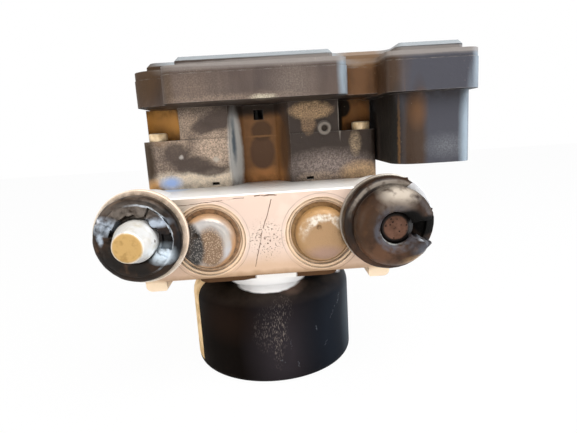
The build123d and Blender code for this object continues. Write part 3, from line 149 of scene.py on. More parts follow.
def vector_maths(tree, operation, first, second=(0, 0, 0), scale=1.0, output=0):
    node = put(tree, "ShaderNodeVectorMath", {0: first, 1: second}, operation=operation)
    if operation == "SCALE":
        if isinstance(scale, bpy.types.NodeSocket):
            tree.links.new(scale, node.inputs["Scale"])
        else:
            node.inputs["Scale"].default_value = scale
    return node.outputs[output]


print("helpers ready")

# %% [markdown]
# ## Floor, backdrop and light
#
# The photograph was cut out on white. We use a pale floor and a world that is white to the camera and in
# reflections, so that metal has something bright to mirror, while soft lamps alone light the object and its
# colours come out as written. The key lamp hangs at the upper right, as the highlights in the photo say.

# %% White world and pale floor
AMBIENT, FLOOR_GLOW, FLOOR_HALF_WIDTH = 0.3, 0.97, 1.5
scene = bpy.context.scene
scene.view_settings.view_transform = "Standard"
world = bpy.data.worlds.new("studio")
scene.world = world
world.use_nodes = True
sky = world.node_tree
background = sky.nodes["Background"]
background.inputs["Color"].default_value = (0.9, 0.93, 1.0, 1)
background.inputs["Strength"].default_value = AMBIENT
white = put(sky, "ShaderNodeBackground", {"Color": (1, 1, 1, 1)})
rays = put(sky, "ShaderNodeLightPath").outputs
mirrored = maths(sky, "MAXIMUM", rays["Is Glossy Ray"], rays["Is Transmission Ray"])
white_to = maths(sky, "MAXIMUM", rays["Is Camera Ray"], mirrored)
choose = put(sky, "ShaderNodeMixShader", {0: white_to, 1: background.outputs[0], 2: white.outputs[0]})
sky.links.new(choose.outputs[0], sky.nodes["World Output"].inputs["Surface"])

mesh = bmesh.new()
bmesh.ops.create_grid(mesh, x_segments=1, y_segments=1, size=FLOOR_HALF_WIDTH)
floor_data = bpy.data.meshes.new("floor")
mesh.to_mesh(floor_data)
mesh.free()
floor = bpy.data.objects.new("floor", floor_data)
scene.collection.objects.link(floor)
floor_paper = bpy.data.materials.new("floor_paper")
floor_paper.use_nodes = True
paper = floor_paper.node_tree
paper_shader = paper.nodes["Principled BSDF"]
paper_shader.inputs["Base Color"].default_value = (0.9, 0.9, 0.9, 1)
paper_shader.inputs["Roughness"].default_value = 0.9
glow = put(paper, "ShaderNodeEmission", {"Color": (1, 1, 1, 1)})
seen = put(paper, "ShaderNodeLightPath").outputs["Is Camera Ray"]
part_glow = maths(paper, "MULTIPLY", seen, FLOOR_GLOW)
blend_floor = put(paper, "ShaderNodeMixShader",
                  {0: part_glow, 1: paper_shader.outputs[0], 2: glow.outputs[0]})
paper.links.new(blend_floor.outputs[0], paper.nodes["Material Output"].inputs["Surface"])
floor.data.materials.append(floor_paper)
print("floor", round(floor.dimensions.x, 2), "m wide")

# %% Soft lamps
# place, target, width, height, watts, colour
LAMPS = {
    "key_above": ((0.15, -0.33, 0.66), (0.0, 0.0, 0.08), 0.5, 0.4, 5.0, (1.0, 0.97, 0.94)),
    "window_left": ((-0.62, -0.28, 0.2), (0.0, -0.02, 0.08), 0.3, 0.5, 1.5, (1.0, 0.95, 0.88)),
    "window_right": ((0.66, -0.12, 0.22), (0.02, -0.02, 0.09), 0.3, 0.5, 2.8, (0.84, 0.92, 1.0)),
    "warm_front": ((0.05, -0.75, 0.1), (0.0, 0.0, 0.08), 0.5, 0.2, 0.95, (1.0, 0.92, 0.82)),
}
for name, (place, target, width, height, watts, colour) in LAMPS.items():
    lamp = bpy.data.lights.new(name, "AREA")
    lamp.shape = "RECTANGLE"
    lamp.size, lamp.size_y = width, height
    lamp.energy = watts
    lamp.color = colour
    holder = bpy.data.objects.new(name, lamp)
    holder.location = place
    holder.rotation_euler = (Vector(target) - Vector(place)).to_track_quat("-Z", "Y").to_euler()
    scene.collection.objects.link(holder)
print(len(LAMPS), "lamps")

# %% [markdown]
# ## Shader node groups
#
# Dust, grime, scratches and worn edges come back on every material of this unit; the dust and grime masks
# also carry painted light and painted shade. Each is built once as a node group with named sockets, and every
# material places it with its own values. A group only puts out a mask: the material decides what colour and
# gloss the mask stands for.

# %% Helpers for node groups
def new_group(name, inputs, output="Mask"):
    """A shader group with named inputs and one output; gives its tree, its inputs and its output socket."""
    tree = bpy.data.node_groups.new(name, "ShaderNodeTree")
    for socket_name, kind, value in inputs:
        socket = tree.interface.new_socket(socket_name, in_out="INPUT", socket_type="NodeSocket" + kind)
        socket.default_value = value
    tree.interface.new_socket(output, in_out="OUTPUT", socket_type="NodeSocketFloat")
    enter = tree.nodes.new("NodeGroupInput").outputs
    leave = tree.nodes.new("NodeGroupOutput").inputs[output]
    return tree, enter, leave


def shaken(tree, ragged, grain):
    """Object coordinates pushed about by noise, which gives a mask a ragged edge."""
    place = put(tree, "ShaderNodeTexCoord").outputs["Object"]
    wobble = put(tree, "ShaderNodeTexNoise", {"Vector": place, "Scale": grain, "Detail": 4.0})
    centred = vector_maths(tree, "SUBTRACT", wobble.outputs["Color"], (0.5, 0.5, 0.5))
    return vector_maths(tree, "ADD", place, vector_maths(tree, "SCALE", centred, scale=ragged))


print("group helpers ready")

# %% [markdown]
# A **patch** is an egg-shaped mark at a place on the object, with a ragged edge: mud, spilt paint, a painted
# highlight, painted shade. Dividing by a size before measuring the distance makes the egg as long or thin as we
# like.

# %% Group: patch
patch, enter, leave = new_group("patch", [
    ("Centre", "Vector", (0, 0, 0)), ("Size", "Vector", (0.01, 0.01, 0.01)), ("Ragged", "Float", 0.004),
    ("Grain", "Float", 300.0), ("Softness", "Float", 0.2),
])
away = vector_maths(patch, "SUBTRACT", shaken(patch, enter["Ragged"], enter["Grain"]), enter["Centre"])
shrunk = vector_maths(patch, "DIVIDE", away, enter["Size"])
distance = vector_maths(patch, "LENGTH", shrunk, output="Value")
inner = maths(patch, "SUBTRACT", 1.0, enter["Softness"])
outer = maths(patch, "ADD", 1.0, enter["Softness"])
patch.links.new(between(patch, distance, inner, outer, 1.0, 0.0), leave)
print("patch:", len(patch.nodes), "nodes")

# %% [markdown]
# A **stroke** is a scratch or a running stain from one point to another. The mask is the distance to the
# line between them.

# %% Group: stroke
stroke, enter, leave = new_group("stroke", [
    ("Start", "Vector", (0, 0, 0)), ("End", "Vector", (0, 0, 0.01)), ("Width", "Float", 0.0004),
    ("Ragged", "Float", 0.001), ("Grain", "Float", 500.0),
])
run = vector_maths(stroke, "SUBTRACT", enter["End"], enter["Start"])
away = vector_maths(stroke, "SUBTRACT", shaken(stroke, enter["Ragged"], enter["Grain"]), enter["Start"])
along = vector_maths(stroke, "DOT_PRODUCT", away, run, output="Value")
length = vector_maths(stroke, "DOT_PRODUCT", run, run, output="Value")
share = between(stroke, maths(stroke, "DIVIDE", along, length), 0.0, 1.0)
nearest = vector_maths(stroke, "SCALE", run, scale=share)
distance = vector_maths(stroke, "LENGTH", vector_maths(stroke, "SUBTRACT", away, nearest), output="Value")
half = maths(stroke, "MULTIPLY", enter["Width"], 0.4)
stroke.links.new(between(stroke, distance, half, enter["Width"], 1.0, 0.0), leave)
print("stroke:", len(stroke.nodes), "nodes")

# %% [markdown]
# A **ring** runs round an axis that points at the viewer: a turning mark, the lip of a torn edge, the stain
# in a groove, a painted highlight on a rim. Flattening the point on the front plane first turns the distance into
# a radius.

# %% Group: ring
ring, enter, leave = new_group("ring", [
    ("Centre", "Vector", (0, 0, 0)), ("Radius", "Float", 0.01), ("Width", "Float", 0.0005),
    ("Ragged", "Float", 0.0005), ("Grain", "Float", 400.0),
])
away = vector_maths(ring, "SUBTRACT", shaken(ring, enter["Ragged"], enter["Grain"]), enter["Centre"])
flat = vector_maths(ring, "MULTIPLY", away, (1, 0, 1))
radius = vector_maths(ring, "LENGTH", flat, output="Value")
miss = maths(ring, "ABSOLUTE", maths(ring, "SUBTRACT", radius, enter["Radius"]))
half = maths(ring, "MULTIPLY", enter["Width"], 0.5)
ring.links.new(between(ring, miss, half, enter["Width"], 1.0, 0.0), leave)
print("ring:", len(ring.nodes), "nodes")

# %% [markdown]
# ** Specks** are grit and splashes all over. **Settled** is the dust that lies on what faces up; the same mask **
# also paints light on some top faces and, turned to face down, shade on undersides. **Grime** gathers where
# surfaces meet, and its darkening there is also painted shade. **Worn edges** are where hands and tools have
# rubbed. Grime asks how much of the sky a point sees, and worn edges compare the true normal with a rounded one.

# %% Groups: specks, settled dust and painted light, grime and painted shade, worn edges
specks, enter, leave = new_group("specks", [
    ("Scale", "Float", 600.0), ("Amount", "Float", 0.3), ("Stretch", "Vector", (1, 1, 1)),
])
place = put(specks, "ShaderNodeTexCoord").outputs["Object"]
stretched = vector_maths(specks, "MULTIPLY", place, enter["Stretch"])
grit = put(specks, "ShaderNodeTexNoise",
           {"Vector": stretched, "Scale": enter["Scale"], "Detail": 6.0, "Roughness": 0.65})
start = maths(specks, "SUBTRACT", 0.78, maths(specks, "MULTIPLY", enter["Amount"], 0.4))
specks.links.new(between(specks, grit.outputs["Fac"], start, maths(specks, "ADD", start, 0.07)), leave)

settled_dust_and_painted_light, enter, leave = new_group("settled_dust_and_painted_light", [
    ("Scale", "Float", 120.0), ("Amount", "Float", 0.5), ("Facing", "Vector", (0, 0, 1)),
])
facing = put(settled_dust_and_painted_light, "ShaderNodeNewGeometry").outputs["Normal"]
upward = between(settled_dust_and_painted_light, vector_maths(settled_dust_and_painted_light, "DOT_PRODUCT", facing, enter["Facing"], output="Value"),
                 0.1, 0.9)
place = put(settled_dust_and_painted_light, "ShaderNodeTexCoord").outputs["Object"]
drift = put(settled_dust_and_painted_light, "ShaderNodeTexNoise",
            {"Vector": place, "Scale": enter["Scale"], "Detail": 7.0, "Roughness": 0.6})
uneven = between(settled_dust_and_painted_light, drift.outputs["Fac"], 0.3, 0.7, 0.35, 1.0)
cover = maths(settled_dust_and_painted_light, "MULTIPLY", upward, uneven)
settled_dust_and_painted_light.links.new(maths(settled_dust_and_painted_light, "MULTIPLY", cover, enter["Amount"]), leave)

grime_and_painted_shade, enter, leave = new_group("grime_and_painted_shade", [
    ("Reach", "Float", 0.003), ("Amount", "Float", 1.0), ("Grain", "Float", 400.0),
])
open_sky = put(grime_and_painted_shade, "ShaderNodeAmbientOcclusion", {"Distance": enter["Reach"]}, samples=6).outputs["AO"]
place = put(grime_and_painted_shade, "ShaderNodeTexCoord").outputs["Object"]
crumbs = put(grime_and_painted_shade, "ShaderNodeTexNoise", {"Vector": place, "Scale": enter["Grain"], "Detail": 5.0})
hidden = between(grime_and_painted_shade, open_sky, 0.55, 0.95, 1.0, 0.0)
broken = between(grime_and_painted_shade, crumbs.outputs["Fac"], 0.3, 0.6, 0.3, 1.0)
grime_and_painted_shade.links.new(maths(grime_and_painted_shade, "MULTIPLY", maths(grime_and_painted_shade, "MULTIPLY", hidden, broken), enter["Amount"]), leave)

worn, enter, leave = new_group("worn edges", [
    ("Radius", "Float", 0.0006), ("Amount", "Float", 0.7), ("Grain", "Float", 500.0),
])
rounded = put(worn, "ShaderNodeBevel", {"Radius": enter["Radius"]}, samples=4).outputs["Normal"]
facing = put(worn, "ShaderNodeNewGeometry").outputs["Normal"]
agreement = vector_maths(worn, "DOT_PRODUCT", rounded, facing, output="Value")
edge = between(worn, agreement, 0.86, 0.985, 1.0, 0.0)
place = put(worn, "ShaderNodeTexCoord").outputs["Object"]
chips = put(worn, "ShaderNodeTexNoise", {"Vector": place, "Scale": enter["Grain"], "Detail": 5.0})
patchy = between(worn, chips.outputs["Fac"], 0.38, 0.62)
worn.links.new(maths(worn, "MULTIPLY", maths(worn, "MULTIPLY", edge, patchy), enter["Amount"]), leave)
print("groups:", ", ".join(g.name for g in bpy.data.node_groups))

# %% [markdown]
# ## Building a finish in layers
#
# A painter lays dirt over metal in coats. `Finish` works the same way: it keeps a colour, a roughness and a
# metal amount, and each coat covers them where its mask is white. Some coats are painted light and shade.
# The commonest coat is one spot, with its own method: a stain, a painted highlight, painted shade. `done`
# wires the result to the shader.

# %% A finish that grows layer by layer
class Finish:
    """A material built up in coats, each laid over the last through a mask."""

    def __init__(self, name, colour, roughness, metallic=0.0):
        self.material = bpy.data.materials.new(name)
        self.material.use_nodes = True
        self.tree = self.material.node_tree
        self.shader = self.tree.nodes["Principled BSDF"]
        self.colour, self.roughness, self.metallic = colour + (1.0,), roughness, metallic
        self.heights = []

    def noise(self, scale, detail=5.0, stretch=(1, 1, 1), low=0.35, high=0.65, start=0.0):
        """Cloudy noise, from start where it is low to 1 where it is high."""
        place = put(self.tree, "ShaderNodeTexCoord").outputs["Object"]
        moved = put(self.tree, "ShaderNodeMapping", {"Vector": place, "Scale": stretch}).outputs["Vector"]
        wave = put(self.tree, "ShaderNodeTexNoise", {"Vector": moved, "Scale": scale, "Detail": detail})
        return between(self.tree, wave.outputs["Fac"], low, high, start)

    def mask(self, group, **values):
        node = put(self.tree, "ShaderNodeGroup", node_tree=group)
        for socket, value in values.items():
            node.inputs[socket.replace("_", " ").capitalize()].default_value = value
        return node.outputs["Mask"]

    def spot(self, centre, size, ragged=2.0, grain=300.0, softness=0.25):
        """A patch with its place and size in millimetres."""
        return self.mask(patch, centre=Vector(centre) * MM, size=Vector(size) * MM, ragged=ragged * MM,
                         grain=grain, softness=softness)

    def line(self, start, end, width=0.4, ragged=1.0, grain=500.0):
        """A stroke with its places and width in millimetres."""
        return self.mask(stroke, start=Vector(start) * MM, end=Vector(end) * MM, width=width * MM,
                         ragged=ragged * MM, grain=grain)

    def times(self, first, second):
        return maths(self.tree, "MULTIPLY", first, second)

    def either(self, first, second):
        return maths(self.tree, "MAXIMUM", first, second)

    def blended(self, mask, below, above, kind="FLOAT"):
        """One value laid over another. A colour uses the mix node's colour sockets."""
        sockets = (2, 3, 0) if kind == "FLOAT" else (6, 7, 2)
        node = put(self.tree, "ShaderNodeMix", {0: mask, sockets[0]: below, sockets[1]: above},
                   data_type=kind)
        return node.outputs[sockets[2]]

    def coat(self, mask, colour=None, roughness=None, metallic=None, strength=1.0):
        if strength != 1.0:
            mask = self.times(mask, strength)
        if colour is not None:
            self.colour = self.blended(mask, self.colour, colour + (1.0,), "RGBA")
        if roughness is not None:
            self.roughness = self.blended(mask, self.roughness, roughness)
        if metallic is not None:
            self.metallic = self.blended(mask, self.metallic, metallic)
        return self

    def stain_and_painted_light(self, centre, size, ragged, grain, softness, colour, roughness, metallic=None, strength=1.0):
        """A coat over one spot, with its place and size in millimetres."""
        mask = self.spot(centre, size, ragged, grain, softness)
        return self.coat(mask, colour, roughness, metallic, strength)

    def raise_by(self, height, depth):
        """Adds a bump: a mask or noise, and how deep it is in millimetres."""
        self.heights.append((height, depth * MM))
        return self

    def done(self, **extras):
        for socket, value in (("Base Color", self.colour), ("Roughness", self.roughness),
                              ("Metallic", self.metallic)):
            if isinstance(value, bpy.types.NodeSocket):
                self.tree.links.new(value, self.shader.inputs[socket])
            else:
                self.shader.inputs[socket].default_value = value
        for socket, value in extras.items():
            self.shader.inputs[socket.replace("_", " ").title().replace("Ior", "IOR")].default_value = value
        normal = None
        for height, depth in self.heights:
            bump = put(self.tree, "ShaderNodeBump", {"Height": height, "Distance": depth, "Strength": 1.0})
            if normal is not None:
                self.tree.links.new(normal, bump.inputs["Normal"])
            normal = bump.outputs["Normal"]
        if normal is not None:
            self.tree.links.new(normal, self.shader.inputs["Normal"])
        return self.material


def dress(material, *names):
    """Gives CAD pieces a finish through their objects' material slots."""
    for name in names:
        piece = nodes[name]
        if not piece.data.materials:
            piece.data.materials.append(material)
        for slot in piece.material_slots:
            slot.link = "OBJECT"
            slot.material = material


print("finish ready")

# %% [markdown]
# ## The control unit's plastic
#
# The lid, rim, coil box and plug socket are glass-filled nylon: black when new, now brown-grey with road
# dirt. The dirt isn't even, and that is what makes it look real. Each mark is one line of a table: where
# it is, how large, how ragged and soft its edge is, its colour and its strength. Broad ones come first,
# small ones last, and a stain marked sandy is broken up into fine grains. Some lines are not dirt but
# painted light: highlights and reflections on rounded corners and glossy walls, and shade on walls that
# face away from the lamps and under the tray.

# %% Colours of the dirt
SOOT_AND_PAINTED_SHADE = (0.010, 0.008, 0.006)
UMBER = (0.042, 0.022, 0.011)
RUST_BROWN = (0.12, 0.055, 0.02)
GOLDEN = (0.6, 0.3, 0.075)
SLATE = (0.048, 0.05, 0.064)
PAINTED_BLUE_HIGHLIGHT = (0.3, 0.37, 0.43)
TAN = (0.66, 0.5, 0.37)
SHADE = (0.09, 0.066, 0.056)
print("dirt colours ready")

# %% Stains and painted light and shade on the tray, the head, the socket and the wells
# place, size, ragged, grain, soft, colour, roughness, strength, sandy
FIRST_STAINS_AND_PAINTED_LIGHT = [
    ((79, -20, 118), (24, 62, 62), 4, 60, 0.12, SLATE, 0.42, 0.95, False),
    ((-55, -20, 137), (15, 40, 14), 3, 120, 0.3, (0.045, 0.021, 0.007), 0.5, 0.97, False),
    ((-35.5, -44, 136), (2.2, 12, 14), 2, 150, 0.6, (0.05, 0.026, 0.01), 0.5, 0.7, False),
    ((-25, -44, 132), (12, 12, 8), 6, 120, 0.7, TAN, 0.8, 0.14, True),
    ((-8, -44, 129.2), (24, 12, 1.6), 3, 200, 0.6, TAN, 0.8, 0.18, True),
    ((15, -44, 134), (8, 12, 7), 4, 200, 0.6, (0.24, 0.2, 0.17), 0.8, 0.45, True),
    ((3, -44, 129), (4.5, 12, 1.0), 1.5, 400, 0.5, (0.6, 0.55, 0.42), 0.8, 0.8, True),
    ((46, -34, 137), (9.5, 12, 15), 2, 120, 0.3, RUST_BROWN, 0.5, 0.95, False),
    ((43, -34, 144), (4, 5, 3), 1.5, 200, 0.6, (0.55, 0.48, 0.4), 0.5, 0.8, False),
    ((53.6, -46, 136), (3.8, 14, 14), 1.5, 150, 0.4, UMBER, 0.5, 0.95, False),
    # painted shade: the plug shroud's left wall, near black
    ((56, -26, 108), (5.0, 36, 25), 1, 150, 0.2, SOOT_AND_PAINTED_SHADE, 0.6, 0.98, False),
    # the next three are painted light on the shroud: a brown reflection band, a golden highlight line at its
    # edge, and the band's orange top
    ((65, -40, 106), (4.6, 14, 26), 0.8, 150, 0.3, UMBER, 0.45, 0.95, False),
    ((59.3, -40, 105), (0.35, 14, 18), 1.0, 700, 0.8, (0.2, 0.1, 0.035), 0.6, 0.65, False),
    ((66, -42, 121), (3, 8, 6), 1, 200, 0.7, (0.16, 0.075, 0.03), 0.5, 0.7, False),
    ((78, -44, 105), (6, 6, 3.4), 3, 600, 0.9, (0.3, 0.32, 0.34), 0.6, 0.35, True),
    # the next three are painted highlights, pale blue, on rounded right-hand corners of the head, the shroud and
    # the tray
    ((89.6, -40, 136), (2.6, 12, 14), 0.6, 200, 0.5, PAINTED_BLUE_HIGHLIGHT, 0.35, 0.7, False),
    ((86.2, -40, 108), (2.4, 12, 24), 0.6, 200, 0.5, PAINTED_BLUE_HIGHLIGHT, 0.35, 0.7, False),
    ((36.4, -43.5, 137), (2.4, 12, 14), 0.6, 200, 0.5, PAINTED_BLUE_HIGHLIGHT, 0.35, 0.75, False),
    # the next four are painted light and shade in the screw wells: the left well's lit wall golden, the right
    # well's lit part brown and its shaded part near black
    ((-48.5, 2, 119), (10.5, 14, 12), 1.5, 200, 0.2, GOLDEN, 0.6, 0.95, False),
    ((46, 0, 121), (9, 16, 15), 1.5, 200, 0.2, (0.34, 0.15, 0.045), 0.6, 0.95, False),
    ((42, -2, 124.8), (4.4, 16, 5.0), 0.6, 200, 0.15, SOOT_AND_PAINTED_SHADE, 0.7, 0.98, False),
    ((39.4, -2, 119), (2.2, 16, 10), 0.6, 200, 0.2, SOOT_AND_PAINTED_SHADE, 0.7, 0.98, False),
]
print(len(FIRST_STAINS_AND_PAINTED_LIGHT), "stains")

# %% Stains and painted light and shade on the coil box
BOX_STAINS_AND_PAINTED_LIGHT = [
    ((-34, -11, 107), (25, 10, 24), 3, 120, 0.1, (0.36, 0.28, 0.22), 0.7, 0.95, True),
    ((-22.5, -11, 109), (9, 10, 8), 4, 250, 0.4, (0.8, 0.62, 0.48), 0.85, 0.9, True),
    ((-33, -11, 93), (24, 10, 4.8), 3, 250, 0.4, (0.8, 0.69, 0.56), 0.8, 0.8, False),
    ((-33, -11, 93), (24, 10, 5.2), 3, 250, 0.4, (1.0, 0.86, 0.68), 0.85, 0.9, True),
    ((-41, -11, 112), (5, 10, 5), 4, 150, 0.5, TAN, 0.85, 0.8, True),
    ((-34, -11, 121), (4.5, 10, 4), 3, 200, 0.6, TAN, 0.85, 0.6, True),
    ((-20, -11, 121.5), (8, 10, 4.6), 4, 330, 0.25, SHADE, 0.5, 0.9, False),
    ((-27, -11, 119), (5.5, 10, 3.4), 4, 330, 0.25, SHADE, 0.5, 0.85, False),
    ((-41, -11, 107), (6, 10, 5), 4, 330, 0.25, SHADE, 0.5, 0.85, False),
    ((-33, -11, 101), (9.5, 10, 4), 4, 330, 0.25, SHADE, 0.5, 0.9, False),
    ((-25, -11, 98), (8, 10, 2.6), 3, 330, 0.25, SHADE, 0.5, 0.85, False),
    ((-54.8, -11, 104), (3.4, 10, 12), 2.5, 200, 0.4, (0.045, 0.028, 0.016), 0.6, 0.95, False),
    ((-53, -11, 91), (3.6, 10, 3.6), 1.5, 200, 0.5, GOLDEN, 0.7, 0.8, False),
    ((-38.6, -11, 105.3), (1.0, 10, 1.0), 1.5, 700, 0.4, (0.62, 0.58, 0.54), 0.8, 0.9, False),
    ((-22, -11, 103.4), (1.5, 10, 1.2), 1.8, 700, 0.4, (0.66, 0.6, 0.52), 0.8, 0.9, False),
    ((33, -11, 106), (26, 10, 26), 3, 120, 0.1, (0.056, 0.041, 0.034), 0.5, 0.95, False),
    ((32, -11, 97), (17, 10, 6), 4, 120, 0.6, (0.52, 0.43, 0.39), 0.8, 0.8, True),
    ((25, -11, 124), (10, 10, 4.2), 3, 300, 0.2, (0.62, 0.42, 0.24), 0.85, 0.95, True),
    ((23.5, -11, 118), (3.4, 10, 5), 2.6, 300, 0.25, (0.42, 0.28, 0.17), 0.85, 0.9, True),
    ((46, -11, 107), (2.4, 10, 5), 3, 400, 0.4, (0.55, 0.42, 0.28), 0.85, 0.95, True),
    ((48, -11, 92), (8.4, 10, 5.0), 2.5, 250, 0.4, (0.4, 0.27, 0.16), 0.8, 0.75, False),
    ((48, -11, 92), (9, 10, 5.6), 2, 200, 0.4, (0.74, 0.5, 0.29), 0.85, 0.95, True),
    ((28, -11, 91), (9, 10, 2.8), 2, 200, 0.5, TAN, 0.85, 0.9, True),
    ((31.1, -12, 115.4), (3.4, 10, 3.4), 0.5, 400, 0.12, (0.34, 0.3, 0.26), 0.7, 0.9, False),
    ((31.3, -12, 115.2), (1.7, 10, 1.7), 0.4, 400, 0.2, (0.08, 0.06, 0.045), 0.7, 0.9, False),
    ((38.6, -11, 120), (0.5, 10, 8), 0.3, 400, 0.5, (0.6, 0.54, 0.48), 0.5, 0.8, False),
    # the recess floor: brown dirt with a painted warm reflection
    ((-0.4, -3, 106), (16.5, 9, 22), 1, 200, 0.06, (0.26, 0.125, 0.05), 0.6, 0.97, False),
    ((2, -1, 92), (12, 8, 4.5), 2, 200, 0.5, (0.66, 0.3, 0.1), 0.6, 0.9, False),
    ((8.5, -1, 104), (1.6, 5, 14), 0.8, 200, 0.5, (0.24, 0.11, 0.035), 0.6, 0.7, False),
    ((0.3, 0, 105), (6.2, 4, 8.6), 1.2, 300, 0.12, (0.13, 0.07, 0.04), 0.6, 0.95, False),
    ((0.6, 0, 115.6), (5.2, 3, 5.2), 1.2, 400, 0.15, (0.1, 0.053, 0.027), 0.6, 0.9, False),
    ((0.3, 0, 113), (9, 3, 0.45), 0.6, 400, 0.3, (0.3, 0.15, 0.06), 0.6, 0.8, False),
    ((11.9, -5, 108), (2.6, 7, 16), 0.8, 200, 0.4, (0.085, 0.042, 0.018), 0.6, 0.95, False),
    # the next two: a painted highlight on the recess's left wall and a painted bluish reflection at its front
    # edge
    ((-12.6, -6, 105), (3.6, 8.5, 21), 1.2, 300, 0.25, (0.75, 0.76, 0.74), 0.6, 0.97, False),
    ((-12.8, -8.5, 112), (1.2, 2.5, 11), 1.5, 300, 0.4, (0.1, 0.15, 0.2), 0.5, 0.9, False),
    # painted shade under the tray's overhang
    ((-1, -1, 126), (14, 9, 3.4), 1, 200, 0.5, (0.02, 0.012, 0.007), 0.7, 0.95, False),
]
print(len(BOX_STAINS_AND_PAINTED_LIGHT), "stains")

# %% Finish: control unit plastic
plastic = Finish("control_unit_plastic", (0.062, 0.046, 0.041), 0.45)
plastic.coat(plastic.noise(40, 5, low=0.4, high=0.7), (0.09, 0.064, 0.052), 0.6)
plastic.coat(plastic.noise(300, 4, (1, 1, 0.12), 0.5, 0.75), (0.12, 0.092, 0.078), 0.6, strength=0.35)
sand = plastic.noise(1500, 6, low=0.4, high=0.64, start=0.35)
for place, size, ragged, grain, soft, colour, roughness, strength, sandy in FIRST_STAINS_AND_PAINTED_LIGHT + BOX_STAINS_AND_PAINTED_LIGHT:
    stain_and_painted_light = plastic.spot(place, size, ragged, grain, soft)
    plastic.coat(plastic.times(stain_and_painted_light, sand) if sandy else stain_and_painted_light, colour, roughness, strength=strength)
# grime where surfaces meet, darkened by occlusion: also painted shade
plastic.coat(plastic.mask(grime_and_painted_shade, reach=0.006, amount=0.7, grain=300.0), (0.014, 0.008, 0.004), 0.7)
# painted shade: faces that look down are darkened
plastic.coat(plastic.mask(settled_dust_and_painted_light, scale=200.0, amount=1.0, facing=(0, 0, -1)), (0.007, 0.004, 0.002), 0.6)
# settled dust, tinted blue as a painted sky reflection on faces that look up
plastic.coat(plastic.mask(settled_dust_and_painted_light, scale=90.0, amount=1.0), (0.5, 0.54, 0.58), 0.4)
# the next three: painted sky reflection, with some dust, on the lid's top band, its plateau and the front rim
plastic.stain_and_painted_light((50, -25, 143.4), (98, 80, 1.9), 0.4, 200, 0.1, (0.26, 0.24, 0.225), 0.45, strength=0.7)
plastic.stain_and_painted_light((30, -25, 148.2), (140, 80, 2.9), 0.4, 200, 0.1, (0.27, 0.3, 0.32), 0.45, strength=0.85)
plastic.stain_and_painted_light((0, -44, 142.6), (140, 40, 1.7), 0.6, 200, 0.3, (0.26, 0.235, 0.22), 0.5, strength=0.45)
plastic.stain_and_painted_light((-54, -20, 141), (16, 40, 9), 3, 120, 0.3, (0.055, 0.03, 0.014), 0.7, strength=0.96)
plastic.stain_and_painted_light((47, -30, 146), (10, 18, 5), 3, 120, 0.4, (0.2, 0.11, 0.045), 0.6, strength=0.75)
plastic.coat(plastic.mask(specks, scale=750.0, amount=0.26), (0.5, 0.42, 0.33), 0.8, strength=0.6)
plastic.coat(plastic.mask(worn, radius=0.0006, amount=0.4, grain=300.0), (0.34, 0.31, 0.28), 0.5)
plastic.stain_and_painted_light((-44.8, -11, 93.3), (4.3, 3, 2.4), 1.2, 300, 0.6, (0.34, 0.54, 0.95), 0.6, strength=0.85)
plastic.raise_by(sand, 0.04)
plastic.raise_by(plastic.noise(260, 6), 0.08)
unit_plastic = plastic.done(specular_ior_level=0.22)
dress(unit_plastic, "ecu_housing", "ecu_cover")
print("plastic:", len(plastic.tree.nodes), "nodes")

# %% [markdown]
# ## The valve block
#
# The block is sawn from an aluminium extrusion and milled. Old aluminium is nearly white, with a warm
# tint where brake dust has bitten in. Its top faces are painted whiter and its feet brighter: painted light.
# A long scratch runs down the middle through a pitted spot, and the turned steps round the accumulators
# have gone golden with thin dark lines in their corners.

# %% Finish: valve block
FACE = -44  # the front face's Y in millimetres
metal = Finish("valve_block_aluminium", (0.72, 0.56, 0.47), 0.45, 0.1)
metal.coat(metal.noise(30, low=0.35, high=0.75), (0.7, 0.56, 0.48), 0.5)
metal.coat(metal.noise(90, 8, low=0.5, high=0.75), (0.78, 0.64, 0.55), 0.4)
metal.stain_and_painted_light((-40, FACE, 84), (12, 10, 8), 4, 150, 0.5, (0.4, 0.37, 0.31), 0.55, strength=0.8)
metal.stain_and_painted_light((0, FACE, 56), (60, 10, 6), 4, 120, 0.6, (0.58, 0.4, 0.27), 0.55, strength=0.9)
metal.stain_and_painted_light((0, FACE, 53.9), (60, 4, 1.8), 2, 250, 0.6, (0.3, 0.18, 0.09), 0.6, strength=0.8)
for side, centre in CAP_CENTRE.items():
    spot_centre = (centre.x / MM, FACE, centre.z / MM)
    metal.stain_and_painted_light(spot_centre, (15.9, 6, 15.9), 0.5, 300, 0.03, (1.0, 0.77, 0.54), 0.5, strength=0.8)
    for radius, width in ((15.5, 0.35), (14.1, 0.4), (17.4, 0.22)):
        line = metal.mask(ring, centre=Vector(spot_centre) * MM, radius=radius * MM, width=width * MM,
                          ragged=0.0006, grain=300.0)
        broken = metal.times(line, metal.noise(70, 4, low=0.4, high=0.6, start=0.15))
        metal.coat(broken, (0.13, 0.075, 0.035), 0.7, 0.0, strength=0.85 if radius < 17 else 0.5)
# settled dust and painted light: faces that look up are painted near white
metal.coat(metal.mask(settled_dust_and_painted_light, scale=60.0, amount=1.6), (1.0, 1.0, 0.98), 0.3)
# painted light: the block's two feet are brightened
for x in (-50, 50):
    metal.stain_and_painted_light((x, FACE, 51), (9, 30, 3.4), 1, 200, 0.3, (1.0, 0.82, 0.6), 0.5, strength=0.85)
